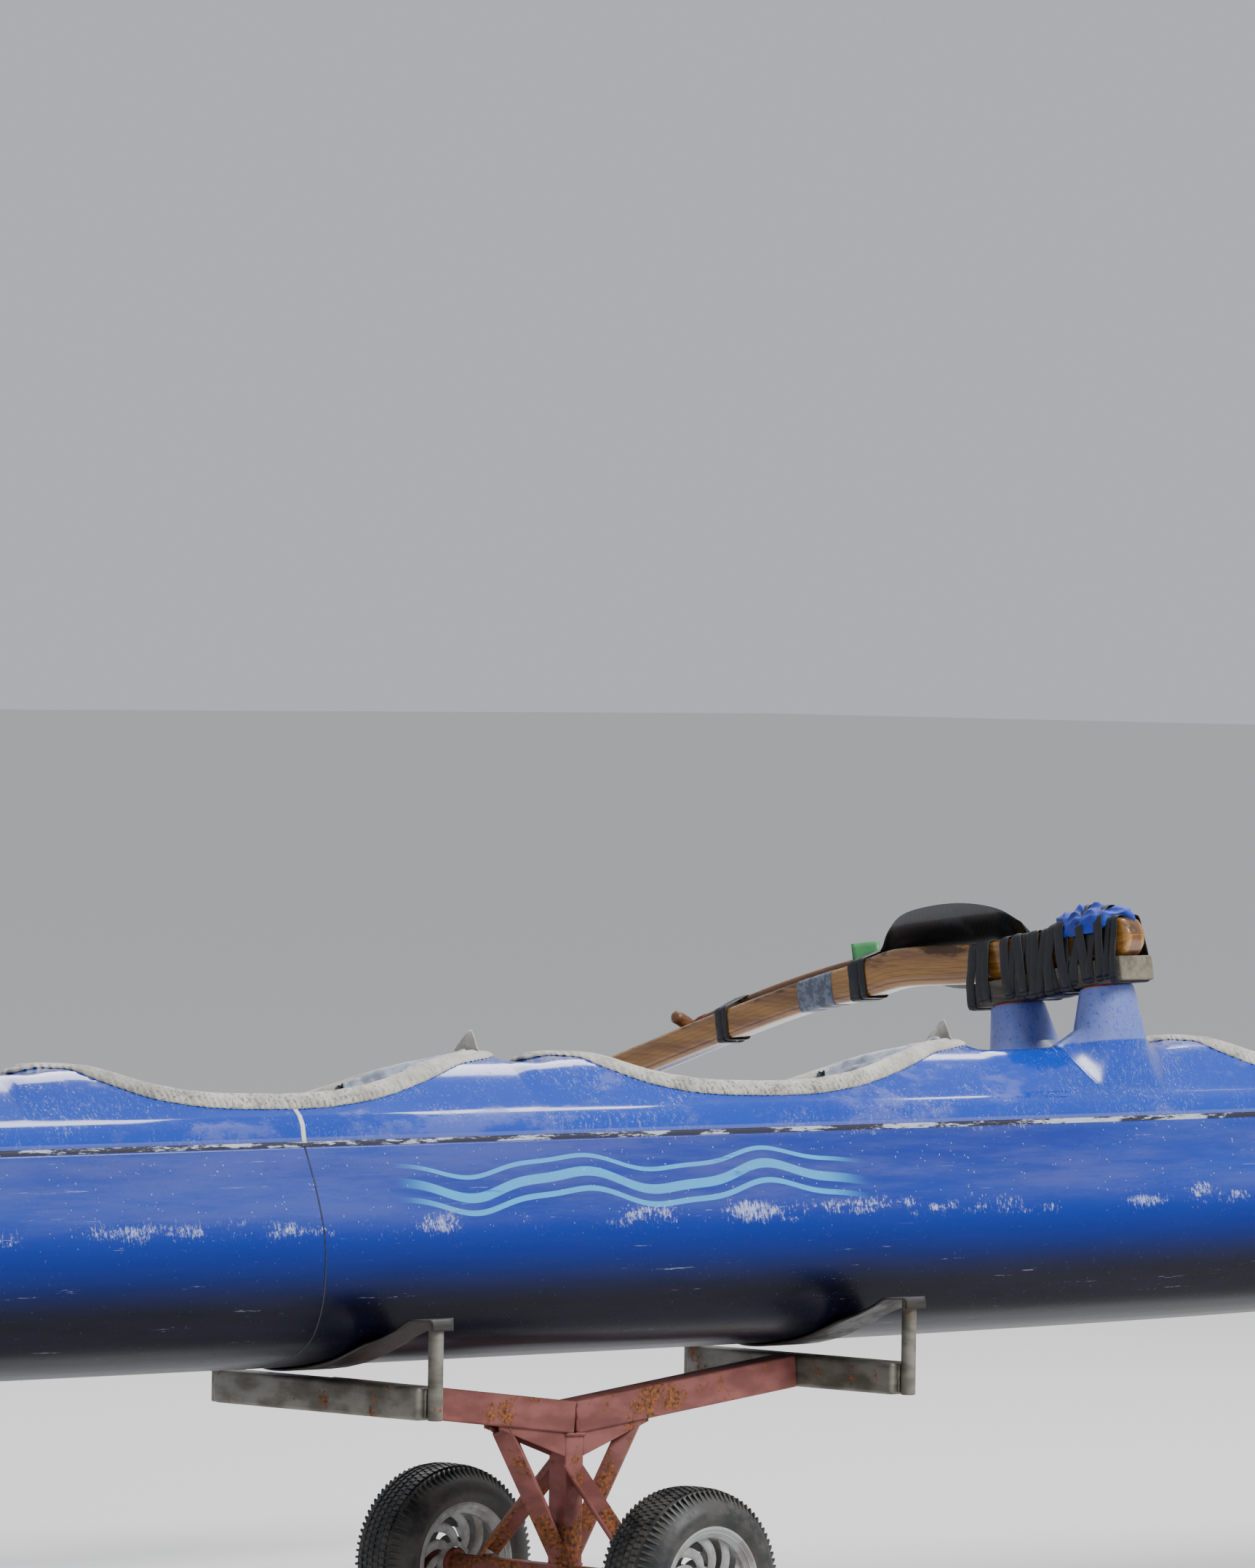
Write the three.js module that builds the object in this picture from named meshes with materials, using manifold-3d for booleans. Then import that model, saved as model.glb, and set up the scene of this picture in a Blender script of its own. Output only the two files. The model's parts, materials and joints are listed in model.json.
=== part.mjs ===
// Six-seat outrigger canoe resting heeled in the slings of two launching trolleys.
// Millimetres. +X points to the bow, +Y to port, where the float is, and +Z up.
import * as THREE from "three";
import { mergeVertices } from "three/addons/utils/BufferGeometryUtils.js";
import Module from "manifold-3d";

const wasm = await Module();
wasm.setup();

// The canoe's own frame has X = 0 at the midship joint and Z = 0 at the keel.
const LENGTH = 13700;
const HALF_BEAM = 200; // at the seam between hull and deck
const TIP_HALF_BEAM = 4;
const SEAM_HEIGHT = 410;
const SHEER_RISE = 100; // of the seam at both ends
const KEEL_ROCKER = 290;
const FOREFOOT_RISE = 110;
const HULL_WALL = 8;
const JOINT_FLANGE = 34; // wall at the bolted midship joint
const FLANGE_LENGTH = 12;
// Lengths of hull and of deck. Columns: name, aft end, fore end.
const SECTIONS = [
  ["stern", -6850, -3747],
  ["aft", -3747, -1980],
  ["mid_aft", -1980, 0],
  ["mid_fore", 0, 2130],
  ["fore", 2130, 4050],
  ["bow", 4050, 6850],
];
const HOLLOW_END = 6250; // beyond this the hull's ends are solid
const GAP = 0.3;
const FRAME_COUNT = 8; // from midship to each end
const END_FRAMES = [-6780, -6620, 6620, 6780];

// Columns: share of the half-beam, share of the depth, from the keel up to the seam.
const HULL_SECTION = [
  [0, 0],
  [0.32, 0.008],
  [0.6, 0.035],
  [0.835, 0.098],
  [1.025, 0.244],
  [1.13, 0.427],
  [1.155, 0.58],
  [1.1, 0.79],
  [1, 1],
];
const INSIDE_SECTION = HULL_SECTION.filter((_, i) => i % 2 === 0); // thicker at keel and bilge

// Deck sizes above the seam.
const DECK_HEIGHT = 165;
const GUNWALE_BAND = 40;
const CREASE_RISE = 18;
const CREASE_INSET = 14;
const PEAK_FADE = { aft: 66, steep: 40, front: 90 }; // how far a peak reaches from its cockpit's end

// Columns: share of a cockpit's length from its aft end, height of its rim above the seam.
const RIM_RISE = [
  [0, 186],
  [0.04, 180],
  [0.1, 155],
  [0.16, 130],
  [0.22, 114],
  [0.28, 104],
  [0.36, 99],
  [0.45, 97],
  [0.54, 100],
  [0.65, 116],
  [0.76, 144],
  [0.87, 174],
  [1, 193],
];
const AFT_PEAK = RIM_RISE[0][1];
const FRONT_PEAK = RIM_RISE[RIM_RISE.length - 1][1];
const RIM_STEPS = 9;

const COCKPIT_LENGTH = 1190;
const COCKPIT_AFT_ENDS = [2610, 806, -535, -1870, -3675, -5008]; // seats 1 to 6

// Foredeck and afterdeck. Columns: X, crown above the seam, how arched the top is (0 to 1).
const BOW_DECK = [
  [4500, 148, 0.5],
  [5500, 110, 0.7],
  [6300, 64, 0.8],
  [6850, 16, 1],
];
const STERN_DECK = [
  [-5700, 142, 0.5],
  [-6300, 82, 0.8],
  [-6850, 16, 1],
];

const SEAT_TOP = 350;
const SEAT_LENGTH = 270;
const SEAT_SET_BACK = 120; // from the cockpit's aft end
const SEAT_THICKNESS = 18;
const SEAT_LIP = 80;
const SEAT_EDGE = { fall: 14, run: 24, side: 7 }; // rounding, aft, fore and at both sides
const BULKHEADS = [3960, -5420];
const BULKHEAD_THICKNESS = 6;

// Rim trim and the spray skirt bunched under each cockpit's front end.
const TRIM = { fold: 24, lift: 2, top: 9, inside: -7, drop: -20 };
const SKIRT = { inside: -27, drop: -24, thick: 19, wide: 24, sides: 6, steps: 3, tip: 0.6 };
const FLAP = { height: 46, width: 74, thickness: 6 };

// Cross beams, their pedestals and the float.
const BEAMS = [
  ["fore", 2362],
  ["aft", -2180],
];
const PEDESTAL = { port: 130, top: 695, sides: 12 };
// Columns: depth below the top, half its length, half its width, how far it leans inboard.
const PEDESTAL_RINGS = [
  [0, 54, 54, 0],
  [8, 59, 58, 0],
  [83, 82, 65, 7],
  [150, 110, 71, 14],
  [180, 136, 76, 20],
  [225, 160, 76, 34],
];
const PAD = { radius: 53, thickness: 3 };
const BLOCK = { along: 100, across: 450, height: 52, chamfer: 4 };
const BEAM_WIDTH = 60;
const BEAM_EDGE = 7;
const BEAM_REST = PEDESTAL.top + PAD.thickness + BLOCK.height + 3 * GAP; // its underside
// Columns: distance to port, height of the centre line above the flat rest, depth.
const BEAM_LINE = [
  [-200, 0, 84],
  [0, 0, 84],
  [170, 1, 84],
  [270, 8, 84],
  [448, 27, 84],
  [570, 16, 79],
  [770, 5, 66],
  [1037, -27, 66],
  [1220, -53, 66],
  [1540, -100, 66],
  [1850, -148, 66],
  [1915, -158, 66],
];
const [[, , BEAM_DEPTH]] = BEAM_LINE;
const BEAM_MIDDLE = BEAM_REST + BEAM_DEPTH / 2; // its centre line's height at the root
const STRAP = 5;
const FLOAT = {
  port: 1850,
  middle: 350,
  halfLength: 2900,
  halfWidth: 108,
  top: 455,
  bottom: 185,
  wall: 5,
  bowRise: 30,
  keelRise: 225,
  drainRadius: 9,
};
const FLOAT_POST = { neck: 34, foot: 74, plate: 130, plateHeight: 14, cradle: 4 };

// Spare paddle tied along the fore beam. Places are distances to port.
const PADDLE = { grip: 1165, gripHeight: 788, throat: 585, throatHeight: 855, tipHeight: 840, shaft: 14 };
const BLADE = { thickness: 10, lean: 42 };
// Columns: distance to port, half the blade's width.
const BLADE_OUTLINE = [
  [585, 17],
  [545, 24],
  [490, 68],
  [420, 106],
  [330, 118],
  [230, 112],
  [150, 84],
  [112, 40],
];
const PADDLE_TIES = [
  ["inboard", 547, 40],
  ["outboard", 975, 36],
];

// The trolleys. Each one's own frame has X = 0 at its axle and Z = 0 on the ground.
const TROLLEYS = [
  ["fore", 830],
  ["aft", -2170],
];
const HEEL = 10; // degrees towards the float
const KEEL_HEIGHT = 649;
const CROSSBAR = { reach: 650, length: 596, side: 65, bottom: 557, wall: 4 };
const POST = { port: 314, radius: 15, top: 752 };
const WELD = { half: 20, reach: 6 }; // the plate between a crossbar's end and its post
const SPINE = { width: 60, depth: 65, endTop: 626, middleTop: 552, wall: 4 };
const SLING = { width: 110, thickness: 5, fold: 42 };
const COLUMN = { side: 50, wall: 4, drain: 5 };
const BRACE = { flange: 38, thickness: 6, spineReach: 180, axleReach: 222, foot: 240, head: 430 };
const AXLE = { side: 40, wall: 4, halfLength: 262, height: 203, spindle: 12.5, collar: 22, cap: 22 };
const WHEEL = { port: 356, radius: 203, rim: 114, bore: 13, hub: 32, hubHalf: 40 };
WHEEL.beadFace = 64; // outer face of the tyre's bead
WHEEL.beadInside = 50;
// The tyre's outer and inner face on one side. Columns: radius, distance from its middle plane.
const TYRE_OUTSIDE = [
  [203, 32],
  [190, 54],
  [167, 74],
  [143, 81],
  [129, 64],
];
const TYRE_INSIDE = [
  [145, 66],
  [178, 44],
  [188, 28],
];
const ROUND = 18; // sides of a wheel
const SMALL_ROUND = 10; // sides of tubes, pins and posts

const finishes = {
  hullBlue: [0x1b3f9c, 0.2, 0],
  deckBlue: [0x1450b8, 0.2, 0],
  seatGrey: [0x9aa0a8, 0.6, 0],
  trimFabric: [0xc9c6bf, 0.9, 0],
  varnishedWood: [0xb9822e, 0.35, 0],
  greyTimber: [0x6f695c, 0.8, 0],
  blackRubber: [0x17191c, 0.6, 0],
  redPad: [0xa8262c, 0.7, 0],
  blueCloth: [0x1d48c8, 0.8, 0],
  carbon: [0x0e0f11, 0.3, 0],
  galvanised: [0x8b8b86, 0.6, 0.7],
  redPrimer: [0x8d4a44, 0.75, 0.3],
  tyreRubber: [0x222325, 0.9, 0],
  rimPlastic: [0xc3c4c6, 0.5, 0],
};
const materials = Object.fromEntries(
  Object.entries(finishes).map(([name, [color, roughness, metalness]]) => [
    name,
    new THREE.MeshStandardMaterial({ name, color, roughness, metalness }),
  ]),
);

// Turning geometry into a solid for joining and cutting, and back.
function solidOf(geometry) {
  const bare = geometry.clone();
  bare.deleteAttribute("normal");
  bare.deleteAttribute("uv");
  const merged = mergeVertices(bare, 1e-3);
  return new wasm.Manifold(
    new wasm.Mesh({
      numProp: 3,
      vertProperties: merged.attributes.position.array,
      triVerts: new Uint32Array(merged.index.array),
    }),
  );
}

function geometryOf(solid) {
  const mesh = solid.getMesh();
  const geometry = new THREE.BufferGeometry();
  geometry.setAttribute("position", new THREE.BufferAttribute(mesh.vertProperties, 3));
  geometry.setIndex(new THREE.BufferAttribute(mesh.triVerts, 1));
  geometry.computeVertexNormals();
  return geometry;
}

const joined = (solids) => solids.reduce((all, next) => all.add(next));
const without = (solid, cutters) => cutters.reduce((rest, cutter) => rest.subtract(cutter), solid);

function addNode(group, name, solid, finish) {
  const mesh = new THREE.Mesh(geometryOf(solid), materials[finish]);
  mesh.name = name;
  group.add(mesh);
  return mesh;
}

// A solid through rings of [x, y, z] points that run counterclockwise seen from the last ring.
function loft(rings, closed = false) {
  const count = rings[0].length;
  const faces = [];
  const spans = closed ? rings.length : rings.length - 1;
  for (let i = 0; i < spans; i++) {
    const next = (i + 1) % rings.length;
    for (let j = 0; j < count; j++) {
      const k = (j + 1) % count;
      faces.push(i * count + j, i * count + k, next * count + k);
      faces.push(i * count + j, next * count + k, next * count + j);
    }
  }
  const last = (rings.length - 1) * count;
  for (let j = 1; j < count - 1 && !closed; j++) {
    faces.push(0, j + 1, j);
    faces.push(last, last + j, last + j + 1);
  }
  const geometry = new THREE.BufferGeometry();
  geometry.setAttribute("position", new THREE.Float32BufferAttribute(rings.flat(2), 3));
  geometry.setIndex(faces);
  return solidOf(geometry);
}

function box(x0, x1, y0, y1, z0, z1) {
  const geometry = new THREE.BoxGeometry(x1 - x0, y1 - y0, z1 - z0);
  return solidOf(geometry.translate((x0 + x1) / 2, (y0 + y1) / 2, (z0 + z1) / 2));
}

// Extrudes an outline of [x, z] points across Y, or one of [y, z] points along X.
function plateOver(points, depth, along, start, bevel = 0) {
  const shape = new THREE.Shape(points.map(([a, b]) => new THREE.Vector2(a, b)));
  const geometry = new THREE.ExtrudeGeometry(shape, {
    depth: depth - 2 * bevel,
    bevelEnabled: bevel > 0,
    bevelSize: bevel,
    bevelThickness: bevel,
    bevelOffset: -bevel,
    bevelSegments: 1,
    curveSegments: 8,
  });
  geometry.translate(0, 0, bevel);
  if (along === "y") geometry.rotateX(Math.PI / 2).translate(0, start + depth, 0);
  else geometry.rotateX(Math.PI / 2).rotateZ(Math.PI / 2).translate(start, 0, 0);
  return solidOf(geometry);
}

function cylinder(radius, from, to, sides = SMALL_ROUND) {
  const a = new THREE.Vector3(...from);
  const b = new THREE.Vector3(...to);
  const geometry = new THREE.CylinderGeometry(radius, radius, a.distanceTo(b), sides);
  const turn = new THREE.Quaternion().setFromUnitVectors(
    new THREE.Vector3(0, 1, 0),
    b.clone().sub(a).normalize(),
  );
  const middle = a.clone().add(b).multiplyScalar(0.5);
  return solidOf(geometry.applyQuaternion(turn).translate(middle.x, middle.y, middle.z));
}

// The hull's frames along X. Its lines are straight from frame to frame, so hull and deck meet.
const frames = [...END_FRAMES];
for (let i = -FRAME_COUNT; i <= FRAME_COUNT; i++) frames.push((i * LENGTH) / 2 / FRAME_COUNT);
for (const [, from] of SECTIONS.slice(1)) if (from !== 0) frames.push(from);
frames.sort((a, b) => a - b);

const reachOf = (x) => Math.min(Math.abs(x) / (LENGTH / 2), 1);

function straightBetweenFrames(line) {
  const heights = frames.map(line);
  return (x) => {
    const next = THREE.MathUtils.clamp(
      frames.findIndex((frame) => frame >= x),
      1,
      frames.length - 1,
    );
    const share = (x - frames[next - 1]) / (frames[next] - frames[next - 1]);
    return heights[next - 1] + (heights[next] - heights[next - 1]) * share;
  };
}

const halfBeam = straightBetweenFrames((x) => {
  const fullness = x > 0 ? 2.5 : 2.8;
  return TIP_HALF_BEAM + (HALF_BEAM - TIP_HALF_BEAM) * (1 - reachOf(x) ** fullness) ** 0.9;
});
const keelHeight = straightBetweenFrames(
  (x) => KEEL_ROCKER * reachOf(x) ** 3.5 + FOREFOOT_RISE * reachOf(x) ** 40,
);
const seamHeight = straightBetweenFrames((x) => SEAM_HEIGHT + SHEER_RISE * reachOf(x) ** 4);

function hullHalf(x, section = HULL_SECTION) {
  const depth = seamHeight(x) - keelHeight(x);
  return section.map(([y, z]) => [y * halfBeam(x), keelHeight(x) + z * depth]);
}

// Columns: X, crown above the seam, how arched the top is.
const deckForms = COCKPIT_AFT_ENDS.flatMap((aft) => [
  [aft - PEAK_FADE.aft, DECK_HEIGHT, 0],
  [aft, AFT_PEAK, 0.5],
  [aft + COCKPIT_LENGTH, FRONT_PEAK, 1],
  [aft + COCKPIT_LENGTH + PEAK_FADE.steep, DECK_HEIGHT + 2, 0.1],
  [aft + COCKPIT_LENGTH + PEAK_FADE.front, DECK_HEIGHT, 0],
])
  .concat(BOW_DECK, STERN_DECK)
  .sort((a, b) => a[0] - b[0]);

function deckHalf(x) {
  const crown = readTable(deckForms, x);
  const arch = readTable(deckForms, x, 2);
  const low = Math.min(1, crown / DECK_HEIGHT);
  const b = halfBeam(x);
  const inset = CREASE_INSET * Math.min(1, b / 60);
  return [
    [b, 0],
    [b, GUNWALE_BAND * low],
    [b - inset, (GUNWALE_BAND + CREASE_RISE) * low],
    [0.62 * b, crown * (0.93 - 0.2 * arch)],
    [0.38 * b, crown * (0.99 - 0.09 * arch)],
    [0, crown],
  ].map(([y, z]) => [y, seamHeight(x) + z]);
}

// Moves a half section inwards by a wall's thickness. A section that ends on the centre line
// is mirrored there.
function insetHalf(half, wall) {
  return half.map(([y, z], i) => {
    const mirror = ([my, mz]) => [-my, mz];
    const before = half[i - 1] ?? (y === 0 ? mirror(half[1]) : half[i]);
    const after = half[i + 1] ?? (y === 0 ? mirror(half[i - 1]) : half[i]);
    const normal = new THREE.Vector2(after[1] - before[1], before[0] - after[0]).normalize();
    const moved = y - normal.x * wall;
    return [y === 0 ? 0 : Math.max(moved, 1), z - normal.y * wall];
  });
}

const wholeRing = (half) => [
  ...half,
  ...half
    .filter(([y]) => y > 0)
    .reverse()
    .map(([y, z]) => [-y, z]),
];

const stations = (from, to, marks = []) =>
  [from, to, ...[...new Set([...frames, ...marks])].filter((x) => x > from && x < to)].sort(
    (a, b) => a - b,
  );

function hullBody(from, to, wall, raised = 0) {
  const rings = stations(from, to).map((x) => {
    const half = wall === 0 ? hullHalf(x) : insetHalf(hullHalf(x, INSIDE_SECTION), wall);
    half[half.length - 1][1] = seamHeight(x) + raised;
    return wholeRing(half).map(([y, z]) => [x, y, z]);
  });
  return loft(rings);
}

function deckBody(from, to, wall, lowered = 0) {
  const marks = deckForms.map((row) => row[0]);
  const rings = stations(from, to, marks).map((x) => {
    const half = wall === 0 ? deckHalf(x) : insetHalf(deckHalf(x), wall);
    half[0] = [half[0][0], seamHeight(x) + lowered];
    const ring = [...half, ...wholeRing(half).slice(half.length)];
    return ring.map(([y, z]) => [x, y, z]);
  });
  return loft(rings);
}

// A table's second column, or another, read between its rows.
function readTable(table, place, column = 1) {
  const next = table.findIndex((row) => row[0] >= place);
  if (next < 1) return table[next === 0 ? 0 : table.length - 1][column];
  const [before, after] = [table[next - 1], table[next]];
  const share = (place - before[0]) / (after[0] - before[0]);
  return before[column] + (after[column] - before[column]) * share;
}

// Where a height above the seam meets the deck's outer surface, on the port side.
function rimPlace(aft, share) {
  const x = aft + COCKPIT_LENGTH * share;
  const z = seamHeight(x) + readTable(RIM_RISE, share);
  const half = deckHalf(x);
  for (let i = 1; i < half.length; i++) {
    const [[y0, z0], [y1, z1]] = [half[i - 1], half[i]];
    if (z <= z1 && z > z0) return [x, y0 + ((y1 - y0) * (z - z0)) / (z1 - z0), z];
  }
  return [x, 0, z];
}

// A cockpit's rim as a closed loop, along the port side and back along starboard.
function rimPath(aft) {
  const side = [];
  for (let i = 0; i <= RIM_STEPS; i++) {
    const share = 0.5 - 0.5 * Math.cos((Math.PI * i) / RIM_STEPS);
    side.push(new THREE.Vector3(...rimPlace(aft, share)));
  }
  side[0].y = side[RIM_STEPS].y = 0;
  const back = side.slice(1, -1).reverse();
  return [...side, ...back.map((p) => new THREE.Vector3(p.x, -p.y, p.z))];
}

const UP = new THREE.Vector3(0, 0, 1);

function outwardsAt(path, i) {
  const before = path[(i + path.length - 1) % path.length];
  const after = path[(i + 1) % path.length];
  const along = after.clone().sub(before).setZ(0).normalize();
  return UP.clone().cross(along);
}

// The cockpit's opening as seen from above, cut straight down through the deck.
function cockpitCutter(aft, grow = 0) {
  const path = rimPath(aft);
  const ring = (z) =>
    path.map((p, i) => {
      const place = p.clone().addScaledVector(outwardsAt(path, i), -grow);
      return [place.x, -place.y, z];
    });
  return loft([ring(SEAM_HEIGHT + 10), ring(SEAM_HEIGHT + 400)]);
}

// The hollow deck between two stations, open over the cockpits.
function deckShell(from, to) {
  const outer = deckBody(from, to, 0, GAP);
  const hollowFrom = Math.max(from - 20, -HOLLOW_END);
  const inner = deckBody(hollowFrom, Math.min(to + 20, HOLLOW_END), HULL_WALL, -20);
  const cut = COCKPIT_AFT_ENDS.filter((aft) => aft < to && aft + COCKPIT_LENGTH > from);
  return without(outer, [inner, ...cut.map((aft) => cockpitCutter(aft))]);
}

// A beam's pedestal: an upright outboard flank, and a foot that spreads fore, aft and inboard.
function pedestal(x, side) {
  const rings = PEDESTAL_RINGS.map(([depth, along, across, lean]) =>
    Array.from({ length: PEDESTAL.sides }, (_, i) => {
      const angle = (2 * Math.PI * i) / PEDESTAL.sides;
      const port = side * (PEDESTAL.port - lean) + across * Math.sin(angle);
      return [x + along * Math.cos(angle), port, PEDESTAL.top - depth];
    }),
  );
  return loft(rings.reverse());
}

function bulkhead(x) {
  const slab = box(x, x + BULKHEAD_THICKNESS, -400, 400, -50, 800);
  const room = joined([
    hullBody(x - 60, x + 60, HULL_WALL - 1),
    deckBody(x - 60, x + 60, HULL_WALL + 2, -2),
  ]);
  return slab.intersect(room);
}

// A length of hull, open at both ends except for the solid bow and stern. The two middle ones
// have flanges, which are bolted together.
function hullSection(from, to) {
  const hollowFrom = from === 0 ? FLANGE_LENGTH : from - 20;
  const hollowTo = to === 0 ? -FLANGE_LENGTH : to + 20;
  const cutters = [
    hullBody(Math.max(hollowFrom, -HOLLOW_END), Math.min(hollowTo, HOLLOW_END), HULL_WALL, 2),
    hullBody(-FLANGE_LENGTH - 1, FLANGE_LENGTH + 1, JOINT_FLANGE, 2),
  ];
  const shell = without(hullBody(from + GAP / 2, to - GAP / 2, 0), cutters);
  const walls = BULKHEADS.filter((x) => x > from && x < to).map(bulkhead);
  return joined([shell, ...walls]);
}

function buildHullAndDeck(canoe) {
  for (const [name, from, to] of SECTIONS) {
    addNode(canoe, `hull_${name}`, hullSection(from, to), "hullBlue");
    const pedestals = BEAMS.filter(([, x]) => x > from && x < to).flatMap(([, x]) => [
      pedestal(x, 1),
      pedestal(x, -1),
    ]);
    const shell = deckShell(from + GAP / 2, to - GAP / 2);
    addNode(canoe, `deck_${name}`, joined([shell, ...pedestals]), "deckBlue");
  }
}

// Bench seats, with an apron at the front. Their flat tops end a little short of the hull's sides.
function buildSeats(canoe) {
  const { fall, run, side } = SEAT_EDGE;
  COCKPIT_AFT_ENDS.forEach((aft, i) => {
    const from = aft + SEAT_SET_BACK;
    const to = from + SEAT_LENGTH;
    const outline = [
      [from, SEAT_TOP - fall],
      [from + run, SEAT_TOP],
      [to - run, SEAT_TOP],
      [to, SEAT_TOP - fall],
      [to, SEAT_TOP - SEAT_LIP],
      [to - SEAT_THICKNESS, SEAT_TOP - SEAT_LIP],
      [to - SEAT_THICKNESS, SEAT_TOP - SEAT_THICKNESS - fall],
      [to - SEAT_THICKNESS - fall, SEAT_TOP - SEAT_THICKNESS],
      [from + run, SEAT_TOP - SEAT_THICKNESS],
      [from, SEAT_TOP - SEAT_THICKNESS - fall],
    ].reverse();
    const bench = plateOver(outline, 2 * HALF_BEAM + 100, "y", -HALF_BEAM - 50);
    const within = hullBody(-HOLLOW_END, HOLLOW_END, HULL_WALL + GAP, 2);
    const flat = hullBody(-HOLLOW_END, HOLLOW_END, HULL_WALL + side, 2);
    const edges = box(from - 1, to + 1, -400, 400, SEAT_TOP - side, SEAT_TOP + 1).subtract(flat);
    addNode(canoe, `seat_${i + 1}`, bench.intersect(within).subtract(edges), "seatGrey");
  });
}

// Height of the deck's outer surface, or null beside the deck.
function deckTop(x, y) {
  const half = deckHalf(x);
  const port = Math.abs(y);
  for (let i = 2; i < half.length; i++) {
    const [[y0, z0], [y1, z1]] = [half[i - 1], half[i]];
    if (port <= y0 && port >= y1) return z0 + ((z1 - z0) * (y0 - port)) / Math.max(y0 - y1, 1e-6);
  }
  return null;
}

// The trim's outer fold lies on the deck: its hem, as distances outwards and up from the rim.
function trimHem(point, outwards) {
  let hem = [2, -2];
  for (let out = 4; out <= TRIM.fold; out += 2) {
    const z = deckTop(point.x + outwards.x * out, point.y + outwards.y * out);
    if (z === null || Math.hypot(out, z - point.z) > TRIM.fold) break;
    hem = [out, z - point.z];
  }
  return hem;
}

// Trim folded over a cockpit's rim, a closed loop of seven-cornered sections.
function rimTrim(aft) {
  const path = rimPath(aft);
  const rings = path.map((point, i) => {
    const outwards = outwardsAt(path, i);
    const [out, rise] = trimHem(point, outwards);
    const length = Math.hypot(out, rise);
    const normal = [-rise / length, out / length];
    const { lift, top, inside, drop } = TRIM;
    return [
      [-GAP, drop],
      [-GAP, lift],
      [out + normal[0] * lift, rise + normal[1] * lift],
      [out + normal[0] * top, rise + normal[1] * top],
      [normal[0] * top, normal[1] * top],
      [inside, top],
      [inside, drop],
    ].map(([o, u]) => point.clone().addScaledVector(outwards, o).addScaledVector(UP, u).toArray());
  });
  return loft(rings, true);
}

// The spray skirt, rolled up inside the front end of the rim. Each side has its own roll, which
// runs on past the last full step of the rim, and the two cross at the peak.
function skirtRoll(aft) {
  const path = rimPath(aft);
  const sideRoll = (way) => {
    const place = (step) => path[RIM_STEPS - way * step];
    const rings = [];
    for (let step = SKIRT.steps; step >= 0; step--) {
      const outwards = outwardsAt(path, RIM_STEPS - way * Math.max(step, 1));
      const centre = step > 0 ? place(step) : place(1).clone().lerp(place(0), SKIRT.tip);
      const ring = [];
      for (let corner = 0; corner < SKIRT.sides; corner++) {
        const angle = (2 * Math.PI * (corner + 0.5)) / SKIRT.sides;
        const out = SKIRT.inside + SKIRT.wide * Math.cos(angle);
        const rise = SKIRT.drop + SKIRT.thick * Math.sin(angle);
        const point = centre.clone().addScaledVector(outwards, out);
        ring.push(point.addScaledVector(UP, rise).toArray());
      }
      rings.push(ring);
    }
    return loft(way > 0 ? rings : rings.reverse());
  };
  return sideRoll(1).add(sideRoll(-1));
}

function buildCovers(canoe) {
  COCKPIT_AFT_ENDS.forEach((aft, i) => {
    const front = aft + COCKPIT_LENGTH;
    const peak = seamHeight(front) + FRONT_PEAK;
    const flap = plateOver(
      [
        [-FLAP.width / 2, peak],
        [FLAP.width / 2, peak],
        [6, peak + FLAP.height],
        [-6, peak + FLAP.height],
      ],
      FLAP.thickness,
      "x",
      front - FLAP.thickness,
    );
    const cover = joined([rimTrim(aft), skirtRoll(aft), flap]);
    const deck = deckBody(aft - PEAK_FADE.front, front + PEAK_FADE.front, -GAP);
    const held = deck.subtract(cockpitCutter(aft, GAP));
    addNode(canoe, `cover_${i + 1}`, cover.subtract(held), "trimFabric");
  });
}

// The beam's side outline, with a rounded end at each tip.
function beamOutline(grow = 0) {
  const line = new THREE.SplineCurve(BEAM_LINE.map(([y, z]) => new THREE.Vector2(y, z)));
  const points = line.getPoints(2 * (BEAM_LINE.length - 1));
  const halfDepth = (y) => readTable(BEAM_LINE, y, 2) / 2 + grow;
  const top = points.map((p) => [p.x, BEAM_MIDDLE + p.y + halfDepth(p.x)]);
  const bottom = points.map((p) => [p.x, BEAM_MIDDLE + p.y - halfDepth(p.x)]);
  const nose = (centre, way) =>
    [-54, -18, 18, 54].map((degrees) => {
      const angle = THREE.MathUtils.degToRad(degrees);
      const radius = halfDepth(centre.x);
      const out = way * radius * 0.8 * Math.cos(angle);
      return [centre.x + out, BEAM_MIDDLE + centre.y + radius * Math.sin(angle)];
    });
  const [first, last] = [points[0], points[points.length - 1]];
  return [...bottom, ...nose(last, 1), ...top.reverse(), ...nose(first, -1).reverse()];
}

const beamSolid = (x, grow = 0) =>
  plateOver(beamOutline(grow), BEAM_WIDTH + 2 * grow, "x", x - BEAM_WIDTH / 2 - grow, BEAM_EDGE);

const beamHeight = (port) => BEAM_MIDDLE + readTable(BEAM_LINE, port);
const beamTop = (port) => beamHeight(port) + readTable(BEAM_LINE, port, 2) / 2;
const beamBottom = (port) => beamHeight(port) - readTable(BEAM_LINE, port, 2) / 2;

// A rubber wrap: the space between an outer six-cornered sleeve and what it holds.
function wrap(x, from, to, low, waist, high, halfLow, halfHigh, grow = 0) {
  const sleeve = (thick) => [
    [x - halfLow - thick, low - thick],
    [x + halfLow + thick, low - thick],
    [x + halfLow + thick, waist],
    [x + halfHigh + thick, high + thick],
    [x - halfHigh - thick, high + thick],
    [x - halfLow - thick, waist],
  ];
  const outer = plateOver(sleeve(STRAP + GAP + grow), to - from + 2 * grow, "y", from - grow);
  return outer.subtract(plateOver(sleeve(GAP - grow), to - from + 20, "y", from - 10));
}

const HULL_WRAPS = [
  [-222, -192],
  [-52, 52],
  [194, 222],
];

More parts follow.
